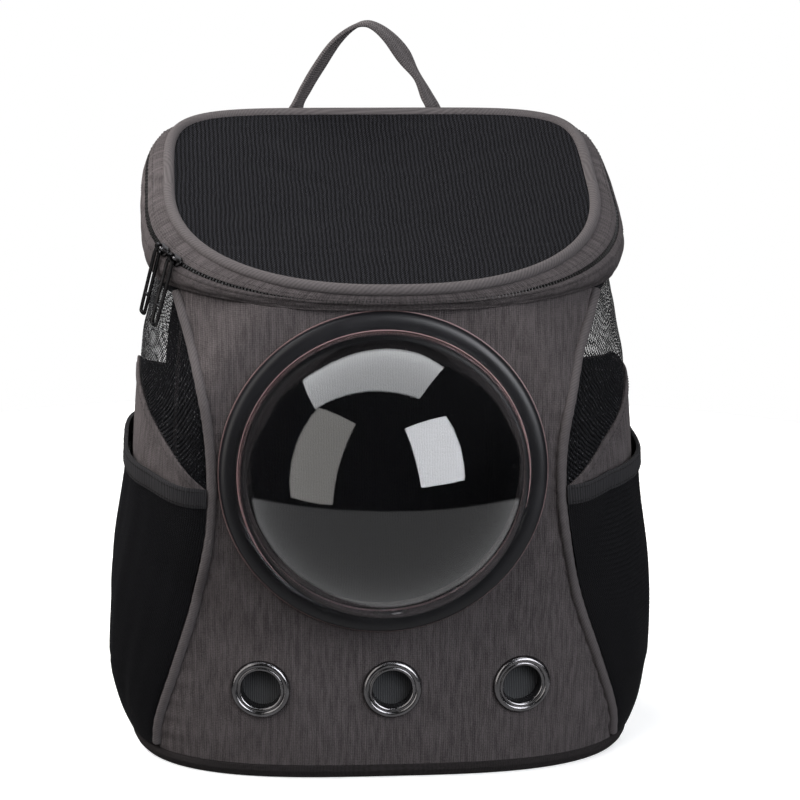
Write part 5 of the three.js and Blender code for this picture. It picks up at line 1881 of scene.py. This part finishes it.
class AddStage(CarrierOperator):
    """Adds the floor, the camera, the lights and the pale surroundings"""

    bl_idname = "carrier.stage"
    bl_label = "Stage"

    def build(self, sizes):
        scene = bpy.context.scene
        select_only()
        bpy.ops.mesh.primitive_circle_add(vertices=128, radius=sizes.floor_radius, fill_type="NGON")
        floor = bpy.context.object
        floor.name = "floor"
        floor.data.materials.append(finish("floor"))

        azimuth, elevation = math.radians(CAMERA_AZIMUTH), math.radians(CAMERA_ELEVATION)
        level = math.cos(elevation)
        back = Vector((math.sin(azimuth) * level, -math.cos(azimuth) * level, math.sin(elevation)))
        camera = bpy.data.objects.new("camera", bpy.data.cameras.new("camera"))
        scene.collection.objects.link(camera)
        camera.location = TARGET + back * CAMERA_DISTANCE
        turn = (-back).to_track_quat("-Z", "Y").to_matrix()
        camera.rotation_euler = (turn @ Matrix.Rotation(math.radians(CAMERA_ROLL), 3, "Z")).to_euler()
        camera.data.sensor_width = SENSOR
        camera.data.lens = FOCAL_PIXELS / PHOTO_SIZE * SENSOR
        camera.data.shift_x = (PHOTO_SIZE / 2 - PRINCIPAL[0]) / PHOTO_SIZE
        camera.data.shift_y = (PRINCIPAL[1] - PHOTO_SIZE / 2) / PHOTO_SIZE
        scene.camera = camera

        for name, way, roll, distance, width, height, power, colour, seen in LIGHTS:
            light = bpy.data.lights.new(name, "AREA")
            light.shape = "RECTANGLE"
            light.size, light.size_y = width, height
            light.energy = power
            light.color = colour
            lamp = bpy.data.objects.new(name, light)
            scene.collection.objects.link(lamp)
            way = Vector(way).normalized()
            lamp.location = TARGET + way * distance
            facing = way.to_track_quat("Z", "Y").to_matrix()
            lamp.rotation_euler = (facing @ Matrix.Rotation(roll, 3, "Z")).to_euler()
            lamp.visible_diffuse = seen == "cloth"
            lamp.visible_glossy = seen == "gloss"
            lamp.visible_transmission = seen == "gloss"
        floor.visible_diffuse = False
        floor.visible_glossy = False
        floor.visible_transmission = False

        world = bpy.data.worlds.new("surroundings")
        world.use_nodes = True
        tree = world.node_tree
        tree.nodes.clear()
        ray = tree.nodes.new("ShaderNodeLightPath")
        way = tree.nodes.new("ShaderNodeTexCoord")
        rise = tree.nodes.new("ShaderNodeVectorMath")
        rise.operation = "DOT_PRODUCT"
        rise.inputs[1].default_value = HORIZON_TILT
        tree.links.new(way.outputs["Generated"], rise.inputs[0])
        sky = tree.nodes.new("ShaderNodeMapRange")
        sky.inputs["From Min"].default_value = HORIZON - HORIZON_BLUR
        sky.inputs["From Max"].default_value = HORIZON + HORIZON_BLUR
        tree.links.new(rise.outputs["Value"], sky.inputs["Value"])

        def mixed(share, low, high):
            mix = tree.nodes.new("ShaderNodeMix")
            mix.data_type = "RGBA"
            tree.links.new(share, mix.inputs[0])
            for socket, value in ((mix.inputs[6], low), (mix.inputs[7], high)):
                if isinstance(value, bpy.types.NodeSocket):
                    tree.links.new(value, socket)
                else:
                    socket.default_value = value
            return mix.outputs[2]

        gloss = mixed(sky.outputs[0], GLOSS_BELOW, GLOSS_ABOVE)
        cloth = mixed(sky.outputs[0], CLOTH_BELOW, CLOTH_ABOVE)
        mirrored = tree.nodes.new("ShaderNodeMath")
        mirrored.operation = "MAXIMUM"
        tree.links.new(ray.outputs["Is Glossy Ray"], mirrored.inputs[0])
        tree.links.new(ray.outputs["Is Transmission Ray"], mirrored.inputs[1])
        unseen = mixed(mirrored.outputs[0], cloth, gloss)
        shader = tree.nodes.new("ShaderNodeBackground")
        output = tree.nodes.new("ShaderNodeOutputWorld")
        tree.links.new(mixed(ray.outputs["Is Camera Ray"], unseen, WHITE), shader.inputs[0])
        tree.links.new(shader.outputs[0], output.inputs[0])
        scene.world = world
        scene.view_settings.view_transform = "Standard"


PIECES = (
    AddStage,
    AddBase,
    AddFrontPanel,
    AddSidePanels,
    AddPockets,
    AddBackPanel,
    AddPiping,
    AddCollar,
    AddSeamTapes,
    AddLidNet,
    AddZip,
    AddDome,
    AddEyelets,
    AddHandle,
    AddShoulderStraps,
    AddSliders,
    AddBuckles,
)


class CarrierPanel(bpy.types.Panel):
    """Lists the carrier's settings and pieces."""

    bl_idname = "VIEW3D_PT_carrier"
    bl_label = "Carrier"
    bl_space_type = "VIEW_3D"
    bl_region_type = "UI"
    bl_category = "Carrier"

    def draw(self, context):
        for group in (context.scene.carrier_sizes, context.scene.carrier_colours):
            for name in group.__annotations__:
                self.layout.prop(group, name)
        for piece in PIECES:
            self.layout.operator(piece.bl_idname)


CLASSES = (CarrierColours, CarrierSizes, *PIECES, CarrierPanel)


def register():
    for item in CLASSES:
        bpy.utils.register_class(item)
    bpy.types.Scene.carrier_colours = bpy.props.PointerProperty(type=CarrierColours)
    bpy.types.Scene.carrier_sizes = bpy.props.PointerProperty(type=CarrierSizes)


def unregister():
    del bpy.types.Scene.carrier_sizes
    del bpy.types.Scene.carrier_colours
    for item in reversed(CLASSES):
        bpy.utils.unregister_class(item)


def main():
    register()
    for piece in PIECES:
        group, name = piece.bl_idname.split(".")
        getattr(getattr(bpy.ops, group), name)()


if __name__ == "__main__":
    main()
